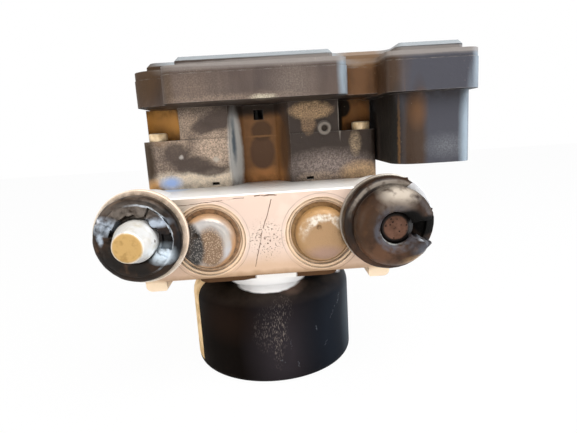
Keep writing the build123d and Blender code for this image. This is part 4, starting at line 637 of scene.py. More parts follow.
# grime where surfaces meet, darkened by occlusion: also painted shade
metal.coat(metal.mask(grime_and_painted_shade, reach=0.003, amount=0.5, grain=350.0), (0.25, 0.15, 0.075), 0.7, 0.0)
pits = metal.times(metal.spot((0.3, FACE, 70), (5.5, 10, 6.5), 4, 300, 0.6),
                   metal.noise(1300, 4, low=0.58, high=0.63))
metal.coat(pits, (0.14, 0.085, 0.05), 0.8, 0.0)
scratch = metal.line((3.5, FACE, 86.9), (-0.9, FACE, 74.9), 0.24, 0.8, 260)
for start, end, width, ragged in [
    ((-0.9, FACE, 74.9), (-5.3, FACE, 58.1), 0.26, 1.1), ((-3.5, FACE, 89.0), (5.5, FACE, 88.7), 0.4, 1.6),
    ((-7, FACE, 69.5), (9, FACE, 72), 0.16, 2.4), ((-38, FACE, 86.5), (-8, FACE, 88.4), 0.2, 1.0),
]:
    scratch = metal.either(scratch, metal.line(start, end, width, ragged, 300))
metal.coat(scratch, (0.12, 0.07, 0.04), 0.8, 0.0, strength=0.9)
metal.coat(metal.mask(specks, scale=700.0, amount=0.17), (0.4, 0.27, 0.17), 0.7, 0.1, strength=0.6)
metal.coat(metal.mask(worn, radius=0.0005, amount=0.5, grain=220.0), (0.5, 0.34, 0.2), 0.5)
metal.stain_and_painted_light((-43, -14, 90.1), (7, 6, 2), 3, 300, 0.5, (0.55, 0.72, 0.95), 0.5, 0.0, strength=0.75)
metal.raise_by(pits, -0.2)
metal.raise_by(scratch, -0.12)
metal.raise_by(metal.noise(700, 5), 0.02)
block_metal = metal.done(specular_ior_level=0.3)
dress(block_metal, "valve_block")
print("block:", len(metal.tree.nodes), "nodes")

# %% [markdown]
# ## Accumulator caps
#
# The two steel caps are plated, and grit has stuck to them. The left one is black grit on one half, brown
# grit on the other, with a bright shoulder at the upper right. The right one is golden brown all over, with
# a pale crescent that is a painted highlight on its upper rounding. Round grit comes from Voronoi cells: the
# distance to the nearest grain is its height.

# %% Group: grit grains
grit, enter, leave = new_group("grit", [("Scale", "Float", 1500.0), ("Size", "Float", 0.5)])
place = put(grit, "ShaderNodeTexCoord").outputs["Object"]
grains = put(grit, "ShaderNodeTexVoronoi", {"Vector": place, "Scale": enter["Scale"]}).outputs["Distance"]
grit.links.new(between(grit, grains, 0.1, enter["Size"], 1.0, 0.0), leave)
print("grit:", len(grit.nodes), "nodes")

# %% Finishes: accumulator caps
left_cap, right_cap = CAP_CENTRE["left"] / MM, CAP_CENTRE["right"] / MM
cap = Finish("cap_left_steel", (0.5, 0.49, 0.5), 0.3, 0.5)
cap.coat(cap.noise(200, 6, low=0.4, high=0.7), (0.5, 0.45, 0.4), 0.4)
cap.coat(cap.mask(ring, centre=left_cap * MM, radius=0.0118, width=0.0024, ragged=0.002, grain=200.0),
         (0.5, 0.27, 0.11), 0.5, 0.2, strength=0.9)
cap.stain_and_painted_light((left_cap.x + 3, left_cap.y - 4, left_cap.z + 4), (7.5, 7, 6), 2, 200, 0.5, (0.36, 0.34, 0.32),
          0.3, 0.3, strength=0.8)
grains = cap.mask(grit, scale=1400.0, size=0.5)
brown_side = cap.spot((left_cap.x + 1.0, left_cap.y - 5, left_cap.z - 2.4), (5.6, 9, 8.6), 1.6, 260, 0.2)
cap.coat(brown_side, (0.22, 0.14, 0.085), 0.8, 0.05)
cap.coat(cap.times(brown_side, grains), (0.62, 0.46, 0.32), 0.8, 0.0)
black_side = cap.spot((left_cap.x - 8.2, left_cap.y - 3, left_cap.z - 1.5), (6.6, 12, 10.5), 1.6, 240, 0.12)
cap.coat(black_side, (0.022, 0.02, 0.019), 0.7, 0.0)
cap.coat(cap.times(black_side, grains), (0.34, 0.31, 0.28), 0.6, 0.0, strength=0.8)
cap.stain_and_painted_light((left_cap.x - 4.6, left_cap.y - 4, left_cap.z + 3.4), (1.4, 4, 1.2), 0.3, 400, 0.3,
          SOOT_AND_PAINTED_SHADE, 0.7, 0.0)
# grime where surfaces meet, darkened by occlusion: also painted shade
cap.coat(cap.mask(grime_and_painted_shade, reach=0.0025, amount=0.9, grain=500.0), (0.06, 0.035, 0.02), 0.8, 0.0)
cap.raise_by(cap.times(cap.either(brown_side, black_side), grains), 0.25)
cap.raise_by(cap.noise(800, 5), 0.05)
cap_left = cap.done()
cap = Finish("cap_right_steel", (0.42, 0.24, 0.09), 0.42, 0.2)
cap.coat(cap.noise(150, 7, low=0.35, high=0.7), (0.38, 0.22, 0.09), 0.5, 0.1)
cap.stain_and_painted_light((right_cap.x, right_cap.y - 5, right_cap.z - 1), (8.8, 8, 8.8), 1.5, 260, 0.25,
          (0.36, 0.22, 0.11), 0.6, 0.05, strength=0.85)
cap.stain_and_painted_light((right_cap.x + 1, right_cap.y - 5, right_cap.z - 8), (8, 6, 3), 1.5, 260, 0.5, (0.3, 0.19, 0.16),
          0.6, 0.05, strength=0.7)
# painted highlight: a pale crescent where the upper rounding catches the light, broken up by noise
painted_crescent_highlight = cap.mask(ring, centre=(right_cap + Vector((0.6, 0, -2.2))) * MM, radius=0.0096, width=0.0024,
                    ragged=0.004, grain=260.0)
upper_half = cap.spot((right_cap.x + 0.5, right_cap.y - 4, right_cap.z + 7), (9.5, 8, 7.5), 1.5, 300, 0.6)
painted_crescent_highlight = cap.times(painted_crescent_highlight, upper_half)
cap.coat(cap.times(painted_crescent_highlight, cap.noise(520, 6, low=0.4, high=0.62, start=0.15)), (0.84, 0.79, 0.7), 0.4,
         0.1, strength=0.9)
cap.coat(cap.times(cap.mask(grit, scale=1700.0, size=0.35), cap.noise(160, 4, low=0.4, high=0.65)),
         (0.2, 0.12, 0.06), 0.8, 0.0, strength=0.7)
# grime where surfaces meet, darkened by occlusion: also painted shade
cap.coat(cap.mask(grime_and_painted_shade, reach=0.0025, amount=0.8, grain=500.0), (0.14, 0.08, 0.03), 0.8, 0.0)
cap.raise_by(cap.mask(grit, scale=1700.0, size=0.45), 0.06)
cap.raise_by(cap.noise(500, 5), 0.06)
cap_right = cap.done()
dress(cap_left, "accumulator_cap_left")
dress(cap_right, "accumulator_cap_right")
print("caps dressed")

# %% [markdown]
# ## Pins, washers and screws
#
# All are zinc plated steel. The left pin's side still shines white and its end has gone golden. The right
# one's end is rusty with small dark pits, and its side lies in the mount's shadow, painted black: old grease
# and painted shade.

# %% Finishes: plated steel and rust
left_pin, right_pin = PIN_AXIS["left"] / MM, PIN_AXIS["right"] / MM
LEFT_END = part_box("mounting_pin_left")[0].y / MM
RIGHT_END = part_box("mounting_pin_right")[0].y / MM
pin = Finish("pin_left_zinc", (0.9, 0.9, 0.88), 0.28, 0.35)
pin.coat(pin.noise(210, 6, low=0.5, high=0.75), (0.66, 0.62, 0.52), 0.4, 0.3)
pin.stain_and_painted_light((left_pin.x - 8, LEFT_END + 10, left_pin.z), (5, 12, 9), 3, 200, 0.5, (0.45, 0.4, 0.3), 0.5, 0.2,
          strength=0.8)
end = pin.spot((left_pin.x, LEFT_END, left_pin.z), (5.9, 1.3, 5.9), 0.4, 300, 0.12)
pin.coat(end, (0.48, 0.3, 0.1), 0.5, 0.1)
pin.coat(pin.times(end, pin.noise(420, 6, low=0.5, high=0.7)), (0.34, 0.2, 0.055), 0.6, 0.1)
pin.coat(pin.times(pin.noise(160, 5, low=0.62, high=0.68), 0.9), (0.1, 0.085, 0.07), 0.7, 0.0)
pin.coat(pin.mask(specks, scale=700.0, amount=0.22), (0.2, 0.14, 0.09), 0.8, 0.0, strength=0.8)
pin.raise_by(pin.noise(600, 4), 0.04)
pin_left = pin.done()
# painted black: old grease and painted shade on the pin inside the mount
pin = Finish("pin_right_rust_and_painted_shade", (0.012, 0.009, 0.008), 0.5)
end = pin.spot((right_pin.x, RIGHT_END, right_pin.z), (4.6, 1.2, 4.6), 0.3, 300, 0.08)
pin.coat(end, (0.085, 0.04, 0.024), 0.8)
pin.coat(pin.times(end, pin.noise(260, 6, low=0.42, high=0.65)), (0.15, 0.075, 0.05), 0.8)
pits = pin.times(end, pin.mask(grit, scale=620.0, size=0.3))
pin.coat(pits, (0.012, 0.008, 0.006), 0.9)
pin.raise_by(pits, -0.2)
pin_right = pin.done(specular_ior_level=0.2)
WASHER_DEPTH = -50  # the washers' Y in millimetres
washer = Finish("washer_zinc", (0.72, 0.69, 0.62), 0.4, 0.4)
washer.coat(washer.noise(140, 7, low=0.45, high=0.7), (0.5, 0.4, 0.28), 0.6, 0.1)
washer.stain_and_painted_light((right_pin.x - 8, WASHER_DEPTH, right_pin.z + 1), (15.5, 12, 22), 2, 200, 0.3,
             (0.2, 0.17, 0.145), 0.6, 0.05, strength=0.85)
washer.stain_and_painted_light((left_pin.x + 5, WASHER_DEPTH, left_pin.z + 5), (20, 12, 20), 2, 200, 0.3, (0.86, 0.66, 0.5),
             0.5, 0.1, strength=0.8)
washer.stain_and_painted_light((right_pin.x + 15, WASHER_DEPTH, right_pin.z + 9), (10, 12, 11), 2, 200, 0.3, (0.7, 0.74, 0.8),
             0.45, 0.15, strength=0.8)
# grime where surfaces meet, darkened by occlusion: also painted shade
washer.coat(washer.mask(grime_and_painted_shade, reach=0.003, amount=0.8, grain=350.0), (0.1, 0.07, 0.045), 0.8, 0.0)
washer.coat(washer.mask(specks, scale=700.0, amount=0.22), (0.2, 0.14, 0.09), 0.8, 0.0)
washer_zinc = washer.done()
screw = Finish("screw_zinc", (0.85, 0.66, 0.42), 0.42, 0.2)
screw.coat(screw.noise(300, 6, low=0.45, high=0.7), (0.62, 0.42, 0.2), 0.6, 0.1)
screw.coat(screw.mask(settled_dust_and_painted_light, scale=300.0, amount=0.9), (0.92, 0.78, 0.56), 0.7, 0.1)
# grime where surfaces meet, darkened by occlusion: also painted shade
screw.coat(screw.mask(grime_and_painted_shade, reach=0.002, amount=0.8, grain=500.0), (0.1, 0.06, 0.03), 0.8, 0.0)
screw_zinc = screw.done()
dress(pin_left, "mounting_pin_left")
dress(pin_right, "mounting_pin_right")
dress(washer_zinc, "isolator_washers")
dress(screw_zinc, "ecu_screws", "motor_screws", "pump_plugs")
print("pins, washers and screws dressed")

# %% [markdown]
# ## The motor can
#
# The can is drawn steel in black. The photo is white over the can's neck, where its background was cut away,
# so we paint that patch white as a painted highlight, with the brown of old dust on the flange beside it. Fine
# dotted streaks of dust run down the middle, and the right side is a little bluer than the left: a painted
# reflection.

# %% Finish: motor paint
paint = Finish("motor_black_paint", (0.0035, 0.0023, 0.0017), 0.4)
paint.stain_and_painted_light((4, -40, 16), (13, 14, 24), 5, 40, 0.6, (0.022, 0.0185, 0.0215), 0.42)
# painted reflection: the right side tinted blue, with a brighter blue band at its edge
paint.stain_and_painted_light((32, -24, 20), (17, 24, 34), 5, 40, 0.5, (0.0085, 0.011, 0.016), 0.35)
paint.stain_and_painted_light((39, -8, 20), (5, 16, 20), 2, 80, 0.5, (0.042, 0.055, 0.067), 0.35, strength=0.85)
paint.stain_and_painted_light((-22, -32, 30), (12, 14, 9), 4, 60, 0.6, (0.013, 0.007, 0.0045), 0.45, strength=0.8)
streaks = paint.noise(2300, 3, (1, 1, 0.3), 0.54, 0.66)
for place, size, strength in [
    ((-1, -40, 26), (5.5, 6, 8), 0.7), ((3.6, -40, 25), (2.6, 6, 7), 0.9),
    ((2, -40, 16), (1.8, 6, 7), 0.7), ((5, -40, 36), (3.5, 6, 5), 0.6),
]:
    dusty = paint.times(paint.spot(place, size, 2.5, 120, 0.6), streaks)
    paint.coat(dusty, (0.19, 0.16, 0.14), 0.8, strength=strength * 0.8)
for start, end, width in [
    ((33, -23, 35.5), (32, -25, 31), 0.7), ((31, -26.5, 31), (27.5, -29.8, 25.5), 0.5),
    ((20.5, -35, 24.5), (20.6, -35, 22), 0.8),
    ((11, -39, 9), (11.2, -38.9, 7), 0.7), ((8, -39.8, 21), (8.2, -39.8, 16), 0.4),
    ((26, -31, 16), (24, -32.6, 13), 0.4), ((3, -40.4, 11.5), (4.5, -40.3, 10), 0.5),
]:
    paint.coat(paint.line(start, end, width * 0.5, 2.2, 900), (0.15, 0.165, 0.185), 0.6, strength=0.4)
paint.coat(paint.mask(specks, scale=800.0, amount=0.14), (0.2, 0.18, 0.17), 0.8, strength=0.4)
paint.coat(paint.mask(settled_dust_and_painted_light, scale=160.0, amount=0.35), (0.1, 0.075, 0.055), 0.7)
paint.stain_and_painted_light((0, -40, 52.5), (60, 8, 2.2), 1, 200, 0.2, (0.11, 0.058, 0.03), 0.7)
paint.stain_and_painted_light((11, -36, 46.5), (6.5, 8, 3.5), 3, 200, 0.5, (0.2, 0.13, 0.1), 0.8, strength=0.85)
# painted highlight: patches on the neck and shoulder painted pure white, not bare metal
painted_neck_highlight = paint.either(paint.spot((-0.8, -36, 47.4), (17.5, 60, 4.3), 0.7, 200, 0.05),
                    paint.spot((3.5, -38, 52), (9, 60, 4.6), 1.0, 200, 0.06))
painted_neck_highlight = paint.either(painted_neck_highlight, paint.spot((41, -14, 49.8), (13, 26, 7.4), 0.7, 200, 0.05))
paint.coat(painted_neck_highlight, (1.0, 1.0, 1.0), 0.5)
paint.raise_by(paint.noise(420, 4), 0.012)
motor_paint = paint.done(specular_ior_level=0.02)
dress(motor_paint, "motor_can")
print("motor:", len(paint.tree.nodes), "nodes")

# %% [markdown]
# ## Inner pieces
#
# The pump, valves and motor hide inside, but the part can be opened in other scenes, so they get honest
# finishes too: ground steel, copper, plastic and a green board. One small recipe serves them all: a base
# colour, a second colour laid on by noise, and a fine bump.

# %% Finishes: inner pieces
def quiet_finish(name, colour, second, roughness, metallic, grain, depth):
    finish = Finish(name, colour, roughness, metallic)
    finish.coat(finish.noise(grain, 5, low=0.4, high=0.68), second, min(roughness + 0.15, 1.0))
    finish.raise_by(finish.noise(grain * 4, 3), depth)
    return finish.done()


INNER = {
    "ground_steel": ((0.6, 0.6, 0.61), (0.46, 0.45, 0.44), 0.24, 0.9, 260, 0.01),
    "spring_wire": ((0.48, 0.48, 0.5), (0.32, 0.31, 0.3), 0.35, 0.9, 400, 0.01),
    "core_laminations": ((0.3, 0.3, 0.31), (0.2, 0.19, 0.19), 0.5, 0.7, 300, 0.03),
    "copper": ((0.68, 0.31, 0.17), (0.45, 0.18, 0.09), 0.34, 0.9, 300, 0.03),
    "bronze": ((0.6, 0.4, 0.2), (0.44, 0.28, 0.13), 0.45, 0.8, 300, 0.02),
    "ferrite": ((0.09, 0.09, 0.095), (0.06, 0.06, 0.062), 0.7, 0.0, 300, 0.04),
    "bobbin_plastic": ((0.05, 0.045, 0.04), (0.075, 0.065, 0.055), 0.45, 0.0, 200, 0.03),
    "board_lacquer": ((0.02, 0.13, 0.05), (0.03, 0.17, 0.07), 0.3, 0.0, 400, 0.02),
    "tinned_brass": ((0.7, 0.66, 0.55), (0.58, 0.5, 0.34), 0.3, 0.85, 400, 0.01),
    "seal_rubber": ((0.03, 0.03, 0.03), (0.05, 0.048, 0.045), 0.6, 0.0, 300, 0.03),
    "brush_carbon": ((0.05, 0.05, 0.05), (0.08, 0.078, 0.075), 0.65, 0.0, 500, 0.04),
    "anodised": ((0.5, 0.5, 0.52), (0.38, 0.38, 0.39), 0.35, 0.7, 300, 0.01),
}
inner = {name: quiet_finish(name, *values) for name, values in INNER.items()}
WEARERS = {
    "ground_steel": ["motor_shaft", "eccentric_ring", "bearing_inner_race", "bearing_outer_race",
                     "pump_sleeve_left", "pump_sleeve_right", "pump_plunger_left", "pump_plunger_right"]
    + [f"valve_{kind}_{number}" for kind in ("body", "armature") for number in range(1, 9)],
    "spring_wire": [name for name in nodes if "spring" in name],
    "core_laminations": ["rotor_core"],
    "copper": ["rotor_winding", "commutator"],
    "bronze": ["rear_bush"],
    "ferrite": ["motor_magnets"],
    "bobbin_plastic": ["coil_carrier", "brush_plate"],
    "board_lacquer": ["circuit_board"],
    "tinned_brass": ["connector_pins"],
    "seal_rubber": ["housing_seal", "accumulator_seal_left", "accumulator_seal_right"],
    "brush_carbon": ["brush_left", "brush_right"],
    "anodised": ["accumulator_piston_left", "accumulator_piston_right"],
}
for name, wearers in WEARERS.items():
    dress(inner[name], *wearers)
print("inner pieces dressed:", sum(len(wearers) for wearers in WEARERS.values()))

# %% [markdown]
# ## Spinning rubber
#
# A rubber mount is moulded round a pin, so its section spun about the pin's axis makes it. We draw the
# section as a closed loop of (radius, height above the washer), round its corners with the bevel operator
# while it is still a flat outline, and then spin it. A torn mount is a spin that stops short: the two open
# ends are filled, and noise pulls them ragged.

# %% Helpers: spun sections and torn edges
def section_loop(mesh, corners):
    """A closed loop of edges from (radius, height, rounding) corners, in millimetres."""
    loop = [mesh.verts.new(Vector((radius, 0, height)) * MM) for radius, height, _ in corners]
    for start, end in zip(loop, loop[1:] + loop[:1]):
        mesh.edges.new((start, end))
    for corner, (_, _, rounding) in zip(loop, corners):
        if rounding:
            bmesh.ops.bevel(mesh, geom=[corner], offset=rounding * MM, offset_type="OFFSET", segments=4,
                            profile=0.5, affect="VERTICES", material=-1)
    return loop


def spin_rubber(corners, start=0.0, sweep=360.0, steps=96):
    """A solid of revolution about Z, whole or partial, with its open ends filled."""
    mesh = bmesh.new()
    section_loop(mesh, corners)
    bmesh.ops.rotate(mesh, verts=mesh.verts, cent=(0, 0, 0), matrix=Matrix.Rotation(radians(start), 3, "Z"))
    whole = sweep >= 360
    bmesh.ops.spin(mesh, geom=mesh.verts[:] + mesh.edges[:], cent=(0, 0, 0), axis=(0, 0, 1),
                   angle=radians(sweep), steps=steps, use_merge=whole, use_duplicate=False)
    bmesh.ops.remove_doubles(mesh, verts=mesh.verts, dist=0.01 * MM)
    if not whole:
        open_edges = [edge for edge in mesh.edges if edge.is_boundary]
        bmesh.ops.holes_fill(mesh, edges=open_edges, sides=0)
        ends = [face for face in mesh.faces if len(face.verts) > 4]
        bmesh.ops.triangulate(mesh, faces=ends)
    bmesh.ops.recalc_face_normals(mesh, faces=mesh.faces)
    return mesh


def shake(mesh, amount, scale, weight=lambda point: 1.0):
    """Pushes every vertex about by smooth noise, more where the weight is higher.

    Blender starts this noise from the clock, so the tears come out a little different at each run."""
    for vertex in mesh.verts:
        point = vertex.co / MM
        push = noise.noise_vector(point * scale) * amount * weight(point)
        vertex.co += push * MM


def join_all(meshes):
    """Several bmeshes in one."""
    whole = bmesh.new()
    for mesh in meshes:
        data = bpy.data.meshes.new("joined")
        mesh.to_mesh(data)
        whole.from_mesh(data)
        bpy.data.meshes.remove(data)
        mesh.free()
    return whole


def to_piece(mesh, name, material, place=None, smooth=True):
    """Turns a bmesh into an object at the origin, with its place in its mesh."""
    if place is not None:
        bmesh.ops.transform(mesh, matrix=place, verts=mesh.verts)
    for face in mesh.faces:
        face.smooth = smooth
    data = bpy.data.meshes.new(name)
    mesh.to_mesh(data)
    mesh.free()
    piece = bpy.data.objects.new(name, data)
    scene.collection.objects.link(piece)
    piece.data.materials.append(material)
    return piece


def pin_place(side):
    """From the section's frame to the washer's face: the section's Z points to the viewer."""
    axis = PIN_AXIS[side]
    return Matrix.Translation((axis.x, WASHER_FACE, axis.z)) @ Matrix.Rotation(radians(90), 4, "X")


def bearing_of(point):
    """The direction of a point round the axis, in degrees, and its distance from it."""
    flat = Vector((point.x, point.y))
    if flat.length < 1e-6:
        return 0.0, 0.0
    return -degrees(Vector((1, 0)).angle_signed(flat)), flat.length


print("rubber helpers ready")

# %% [markdown]
# ## Rubber
#
# Old rubber is black with a greasy shine and brown where dirt has dried. The pale grey-blue on the torn
# flaps is a painted highlight, and the dark hollows are painted shade.
# Both mounts share one recipe; each adds its own table of marks in places measured from its pin.

# %% Finish: rubber
WASHER_MM = WASHER_FACE / MM
# the pale grey-blue is a painted highlight on torn flaps; the near-black is painted shade in hollows
PAINTED_TEAR_HIGHLIGHT, PAINTED_HOLLOW_SHADE = (0.42, 0.49, 0.58), (0.0015, 0.0012, 0.001)


def rubber_finish(name, side, colour, marks, rings, painted_shades=()):
    """Greasy rubber, with its marks placed from the pin's axis and the washer; some marks are painted highlights.

    A mark is (x, z, height), size, colour, strength. A ring is radius, width, then the (x, z) and size of
    the spot it shows in, colour, strength. A hollow is (x, z), size, and is coated last, near black: painted
    shade."""
    axis = PIN_AXIS[side] / MM
    rubber = Finish(name, colour, 0.4)
    rubber.coat(rubber.noise(90, 6, low=0.45, high=0.75), (0.04, 0.019, 0.009), 0.42)
    rubber.coat(rubber.noise(230, 7, low=0.6, high=0.76), (0.14, 0.07, 0.035), 0.6, strength=0.5)
    # grime where surfaces meet, darkened by occlusion: also painted shade
    rubber.coat(rubber.mask(grime_and_painted_shade, reach=0.003, amount=0.8, grain=400.0), (0.012, 0.008, 0.006), 0.6)
    for (x, z, height), size, mark_colour, strength in marks:
        place = (axis.x + x, WASHER_MM - height, axis.z + z)
        mark = rubber.times(rubber.spot(place, size, 1.8, 220, 0.45),
                            rubber.noise(300, 4, low=0.25, high=0.5))
        rubber.coat(mark, mark_colour, 0.38, strength=strength)
    for radius, width, (x, z), size, mark_colour, strength in rings:
        band = rubber.mask(ring, centre=axis * MM, radius=radius * MM, width=width * MM, ragged=0.0008,
                           grain=300.0)
        band = rubber.times(band, rubber.spot((axis.x + x, WASHER_MM - 8, axis.z + z), size, 2, 200, 0.4))
        rubber.coat(rubber.times(band, rubber.noise(420, 5, low=0.3, high=0.55)), mark_colour, 0.4,
                    strength=strength)
    # painted shade in the hollows, coated last
    for (x, z), size in painted_shades:
        rubber.stain_and_painted_light((axis.x + x, WASHER_MM - 8, axis.z + z), size, 1.2, 300, 0.15, PAINTED_HOLLOW_SHADE, 0.9)
    rubber.coat(rubber.mask(specks, scale=700.0, amount=0.2), (0.42, 0.34, 0.25), 0.8, strength=0.7)
    rubber.raise_by(rubber.noise(500, 6), 0.05)
    return rubber.done(specular_ior_level=0.16)


# the pale grey-blue and white marks and the pale ring at 14.2 mm are painted highlights on the torn flaps and
# lip; the near-black mark at 10.4, 1.2 is painted shade in the opening
left_rubber = rubber_finish("rubber_left", "left", (0.008, 0.0055, 0.004), [
    ((-1, 11, 6), (9, 7, 3.6), (0.17, 0.145, 0.125), 0.85),
    ((-11.5, 6.6, 7), (4.4, 7, 3.0), PAINTED_TEAR_HIGHLIGHT, 0.95), ((-14.4, 8.4, 7), (1.6, 5, 1.1), (0.8, 0.82, 0.88), 0.9),
    ((8, 6.8, 7), (5.5, 5, 1.7), PAINTED_TEAR_HIGHLIGHT, 0.8), ((10, -6, 6), (5.0, 7, 3.4), (0.55, 0.64, 0.72), 0.95),
    ((-13.4, 1.6, 7), (1.2, 5, 2.2), PAINTED_TEAR_HIGHLIGHT, 0.9), ((17, 0, 1), (3.6, 14, 15), (0.003, 0.003, 0.0035), 0.95),
    ((10.4, 1.2, 6), (3.4, 16, 3.2), (0.009, 0.007, 0.007), 1.0),
], [
    (14.2, 0.5, (9, 4), (11, 14, 13), (0.62, 0.68, 0.74), 0.9),
    (16.8, 0.8, (0, 15), (12, 14, 5), (0.16, 0.11, 0.075), 0.5),
])
# the pale mark on the dome's top is dust with a painted highlight; the bluish marks at 12, -9 and 13, -4.6 are
# painted reflection and highlight on the torn lobe; the hollows are painted shade
right_rubber = rubber_finish("rubber_right", "right", (0.024, 0.011, 0.005), [
    ((1.4, 12.9, 12), (6.6, 9, 3.8), (0.46, 0.4, 0.33), 0.95),
    ((0, 8.5, 15), (6, 5, 2.5), (0.16, 0.13, 0.11), 0.7),
    ((-7, -10, 12), (9, 9, 6), (0.13, 0.062, 0.032), 0.75),
    ((-13, 2, 12), (3.5, 8, 9), (0.06, 0.028, 0.012), 0.6),
    ((12, -9, 13), (6, 8, 3.0), (0.07, 0.075, 0.09), 0.85),
    ((13, -4.6, 14), (4.5, 6, 0.9), (0.55, 0.6, 0.66), 0.8),
    ((7, -13, 11), (6, 6, 2.2), (0.36, 0.22, 0.1), 0.7),
], [
    (7.6, 2.2, (-2, -2), (12, 14, 12), (0.075, 0.077, 0.092), 0.85),
    (6.2, 0.5, (-4, -4), (6, 14, 6), (0.4, 0.42, 0.4), 0.8),
    (17.2, 2.4, (-6, 6), (16, 14, 16), (0.01, 0.0085, 0.008), 0.85),
    (17.0, 1.0, (-6, 13), (14, 14, 9), (0.3, 0.26, 0.22), 0.7),
], [((5.2, 3.2), (5.4, 16, 4.6)), ((11, 1.6), (5.5, 16, 3.4)), ((14.5, -1.2), (5, 16, 5.2))])
print("rubber finishes ready")

# %% [markdown]
# ## The torn left mount
#
# The dome has gone. What is left is the thick collar on the washer, a dark stump of the dome on its lower
# left, and an open bowl on the other side with rags hanging over it. Each rag is a short spin whose inner
# edge is thin, shaken hard at its ends.

# %% Model: left mount
SLEEVE = PIN_RADIUS["left"] / MM + 0.1
COLLAR = 17.4
collar = spin_rubber([
    (SLEEVE, 0.1, 0), (COLLAR, 0.1, 1.6), (COLLAR, 6.6, 2.2), (14.3, 6.9, 0.5), (13.5, 2.6, 1.0),
    (SLEEVE + 1.4, 2.0, 0.6), (SLEEVE + 1.2, 3.4, 0.4), (SLEEVE, 3.6, 0.3),
])
shake(collar, 0.6, 0.35, lambda point: 1.0 if SLEEVE + 2 < bearing_of(point)[1] < 15.0 else 0.3)
STUMP_START, STUMP_SWEEP, TORN_REACH = 168, 158, 12
STUMP_END = STUMP_START + STUMP_SWEEP - 360
stump = spin_rubber([
    (SLEEVE + 0.3, 2.2, 0), (15.0, 2.2, 0), (14.9, 6.9, 0.5), (12.4, 8.0, 1.2), (SLEEVE + 0.5, 7.4, 0.9),
], STUMP_START, STUMP_SWEEP, 64)


def at_stump_ends(point):
    """1 near the stump's two torn ends, a quarter elsewhere."""
    direction = bearing_of(point)[0]
    gap = min(abs(direction - STUMP_START), abs(direction - STUMP_END))
    return 1.0 if gap < TORN_REACH else 0.25


shake(stump, 1.0, 0.3, at_stump_ends)
rags = []
for start, sweep, outer, lift, rough in [
    (66, 86, 14.6, 1.2, 1.2), (146, 30, 16.2, 2.2, 1.9), (10, 52, 14.0, 1.9, 1.5),
    (-60, 40, 15.4, 0.6, 1.7), (196, 10, 15.8, 2.0, 1.2),
]:
    rag = spin_rubber([
        (outer, 5.6, 0), (outer - 0.2, 6.9, 0.3),
        (12.4, 6.3 + lift * 0.5, 0.4), (SLEEVE + 1.4, 5.6 + lift, 0.2),
        (SLEEVE + 1.6, 4.9 + lift, 0.2), (12.2, 5.3 + lift * 0.4, 0.4),
    ], start, sweep, 24)
    shake(rag, rough, 0.42, lambda point: 1.0 if bearing_of(point)[1] < 13.4 else 0.3)
    rags.append(rag)
mount_left = to_piece(join_all([collar, stump] + rags), "torn_mount_left", left_rubber, pin_place("left"))
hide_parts("isolator_left")
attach(mount_left, "unit")
print("left mount:", len(mount_left.data.polygons), "faces")

# %% [markdown]
# ## The torn right mount
#
# Here the dome is whole but for a tear from its hole to the edge, and the collar has lost a piece at the
# upper right, where the washer shows. The collar and the dome are spins with gaps, joined in one mesh; a
# noise that grows near the open ends makes them ragged.

# %% Model: right mount
SLEEVE = PIN_RADIUS["right"] / MM + 0.1
COLLAR = 18.8
base = spin_rubber([(SLEEVE, 0.1, 0), (15.8, 0.1, 0), (15.8, 2.6, 0.4), (SLEEVE, 2.6, 0)])
rim = spin_rubber([(15.0, 0.1, 0), (COLLAR, 0.1, 1.4), (COLLAR, 6.6, 2.0), (15.0, 7.0, 0.4)], 64, 268, 96)
torn_rim = spin_rubber([
    (15.0, 0.1, 0), (COLLAR, 0.1, 0.8), (COLLAR - 0.2, 3.4, 0.8), (15.0, 4.4, 0.4),
], -30, 44, 24)
dome = spin_rubber([
    (SLEEVE, 2.0, 0), (15.4, 2.0, 0), (15.2, 8.0, 0.8), (15.8, 9.6, 1.5), (15.5, 17.1, 6.4),
    (6.3, 16.6, 2.4), (6.2, 13.4, 0.6), (SLEEVE + 0.6, 12.0, 0.6), (SLEEVE + 0.6, 8.6, 0.4),
    (SLEEVE, 7.6, 0.2),
], 14, 316, 120)


def near_ends(point, ends, reach):
    """1 near the open ends of a partial spin, falling to nearly nothing away from them."""
    direction, _ = bearing_of(point)
    gap = min(abs((direction - end + 180) % 360 - 180) for end in ends)
    return max(0.06, 1 - gap / reach)


shake(rim, 1.8, 0.5, lambda point: near_ends(point, (64, -28), 12))
shake(torn_rim, 1.2, 0.5, lambda point: near_ends(point, (14,), 14))
shake(dome, 1.6, 0.45, lambda point: near_ends(point, (14, -30), 9))
rubber_parts = join_all([base, rim, torn_rim, dome])
mount_right = to_piece(rubber_parts, "torn_mount_right", right_rubber, pin_place("right"))
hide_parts("isolator_right")
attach(mount_right, "unit")
print("right mount:", len(mount_right.data.polygons), "faces")

# %% [markdown]
# ## The blank label on the motor
#
# A golden strip shows at the can's left edge: the end of a label that wraps round the back. It is left
# blank. A vertical edge spun part of the way round the motor's axis and given a little thickness makes it.

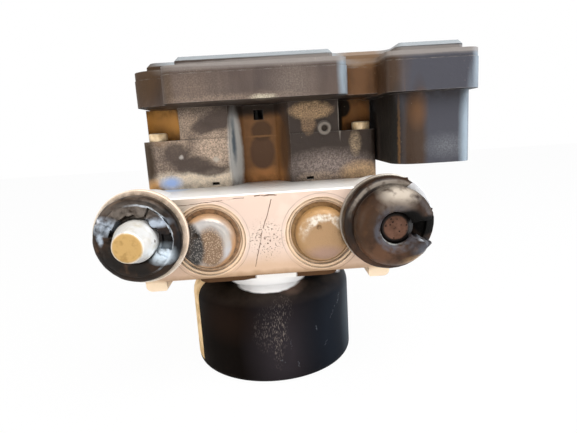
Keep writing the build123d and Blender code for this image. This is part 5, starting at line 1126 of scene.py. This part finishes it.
# %% Model: motor label
LABEL_START, LABEL_SWEEP, LABEL_STEPS = 208.0, -76.0, 40
LABEL_BOTTOM, LABEL_GAP, LABEL_THICKNESS = 4, 0.05, 0.12
SHOULDER_BEND, SHOULDER_Z = 9, 36
label_finish = Finish("label_paper", (0.9, 0.66, 0.36), 0.6)
label_finish.coat(label_finish.noise(200, 7, low=0.45, high=0.7), (0.56, 0.36, 0.15), 0.7)
label_finish.coat(label_finish.mask(specks, scale=700.0, amount=0.2), (0.2, 0.13, 0.06), 0.8)
label_finish.raise_by(label_finish.noise(500, 4), 0.02)
label_paper = label_finish.done()
mesh = bmesh.new()
outer_bend = SHOULDER_BEND + LABEL_GAP
edge = [(MOTOR_RADIUS / MM + LABEL_GAP, LABEL_BOTTOM)]
for turn in range(0, 61, 15):
    out, rise = outer_bend * cos(radians(turn)), outer_bend * sin(radians(turn))
    edge.append((MOTOR_RADIUS / MM - SHOULDER_BEND + out, SHOULDER_Z + rise))
corners = [mesh.verts.new((radius * MM, 0, height * MM)) for radius, height in edge]
for start, end in zip(corners, corners[1:]):
    mesh.edges.new((start, end))
bmesh.ops.rotate(mesh, verts=mesh.verts, cent=(0, 0, 0),
                 matrix=Matrix.Rotation(radians(LABEL_START), 3, "Z"))
bmesh.ops.spin(mesh, geom=mesh.verts[:] + mesh.edges[:], cent=(0, 0, 0), axis=(0, 0, 1),
               angle=radians(LABEL_SWEEP), steps=LABEL_STEPS, use_merge=False, use_duplicate=False)
bmesh.ops.recalc_face_normals(mesh, faces=mesh.faces)
mesh.faces.ensure_lookup_table()
if mesh.faces[0].normal.dot(mesh.faces[0].calc_center_median()) < 0:
    bmesh.ops.reverse_faces(mesh, faces=mesh.faces)
bmesh.ops.solidify(mesh, geom=mesh.faces[:], thickness=-LABEL_THICKNESS * MM)
bmesh.ops.recalc_face_normals(mesh, faces=mesh.faces)
label = to_piece(mesh, "motor_label", label_paper, smooth=False)
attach(label, "unit")
print("label:", len(label.data.polygons), "faces")

# %% [markdown]
# ## Spring copies
#
# Each pump plunger, accumulator piston and brush moves back against a coil spring. A rigid spring would
# stay long and be cut through. Here each spring is copied, given a mesh of its own and attached to the unit,
# and the original is hidden.

# %% Springs
X, Y = 0, 1
# joint, axis it moves along, how far it moves in millimetres
STROKES = {
    "pump_spring": ("plunger_{}_stroke", X, 1.5),
    "accumulator_spring": ("accumulator_{}_stroke", Y, 7.0),
    "brush_spring": ("brush_{}_slide", X, 1.0),
}
for kind, (joint, axis, stroke) in STROKES.items():
    for side in ("left", "right"):
        name = f"{kind}_{side}"
        coil = bpy.data.objects.new(f"{name}_coil", nodes[name].data.copy())
        scene.collection.objects.link(coil)
        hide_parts(name)
        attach(coil, "unit")
        along = (1, 0, 0) if axis == X else (0, 1, 0)
        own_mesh(coil)
print("springs shorten:", len(STROKES) * 2)
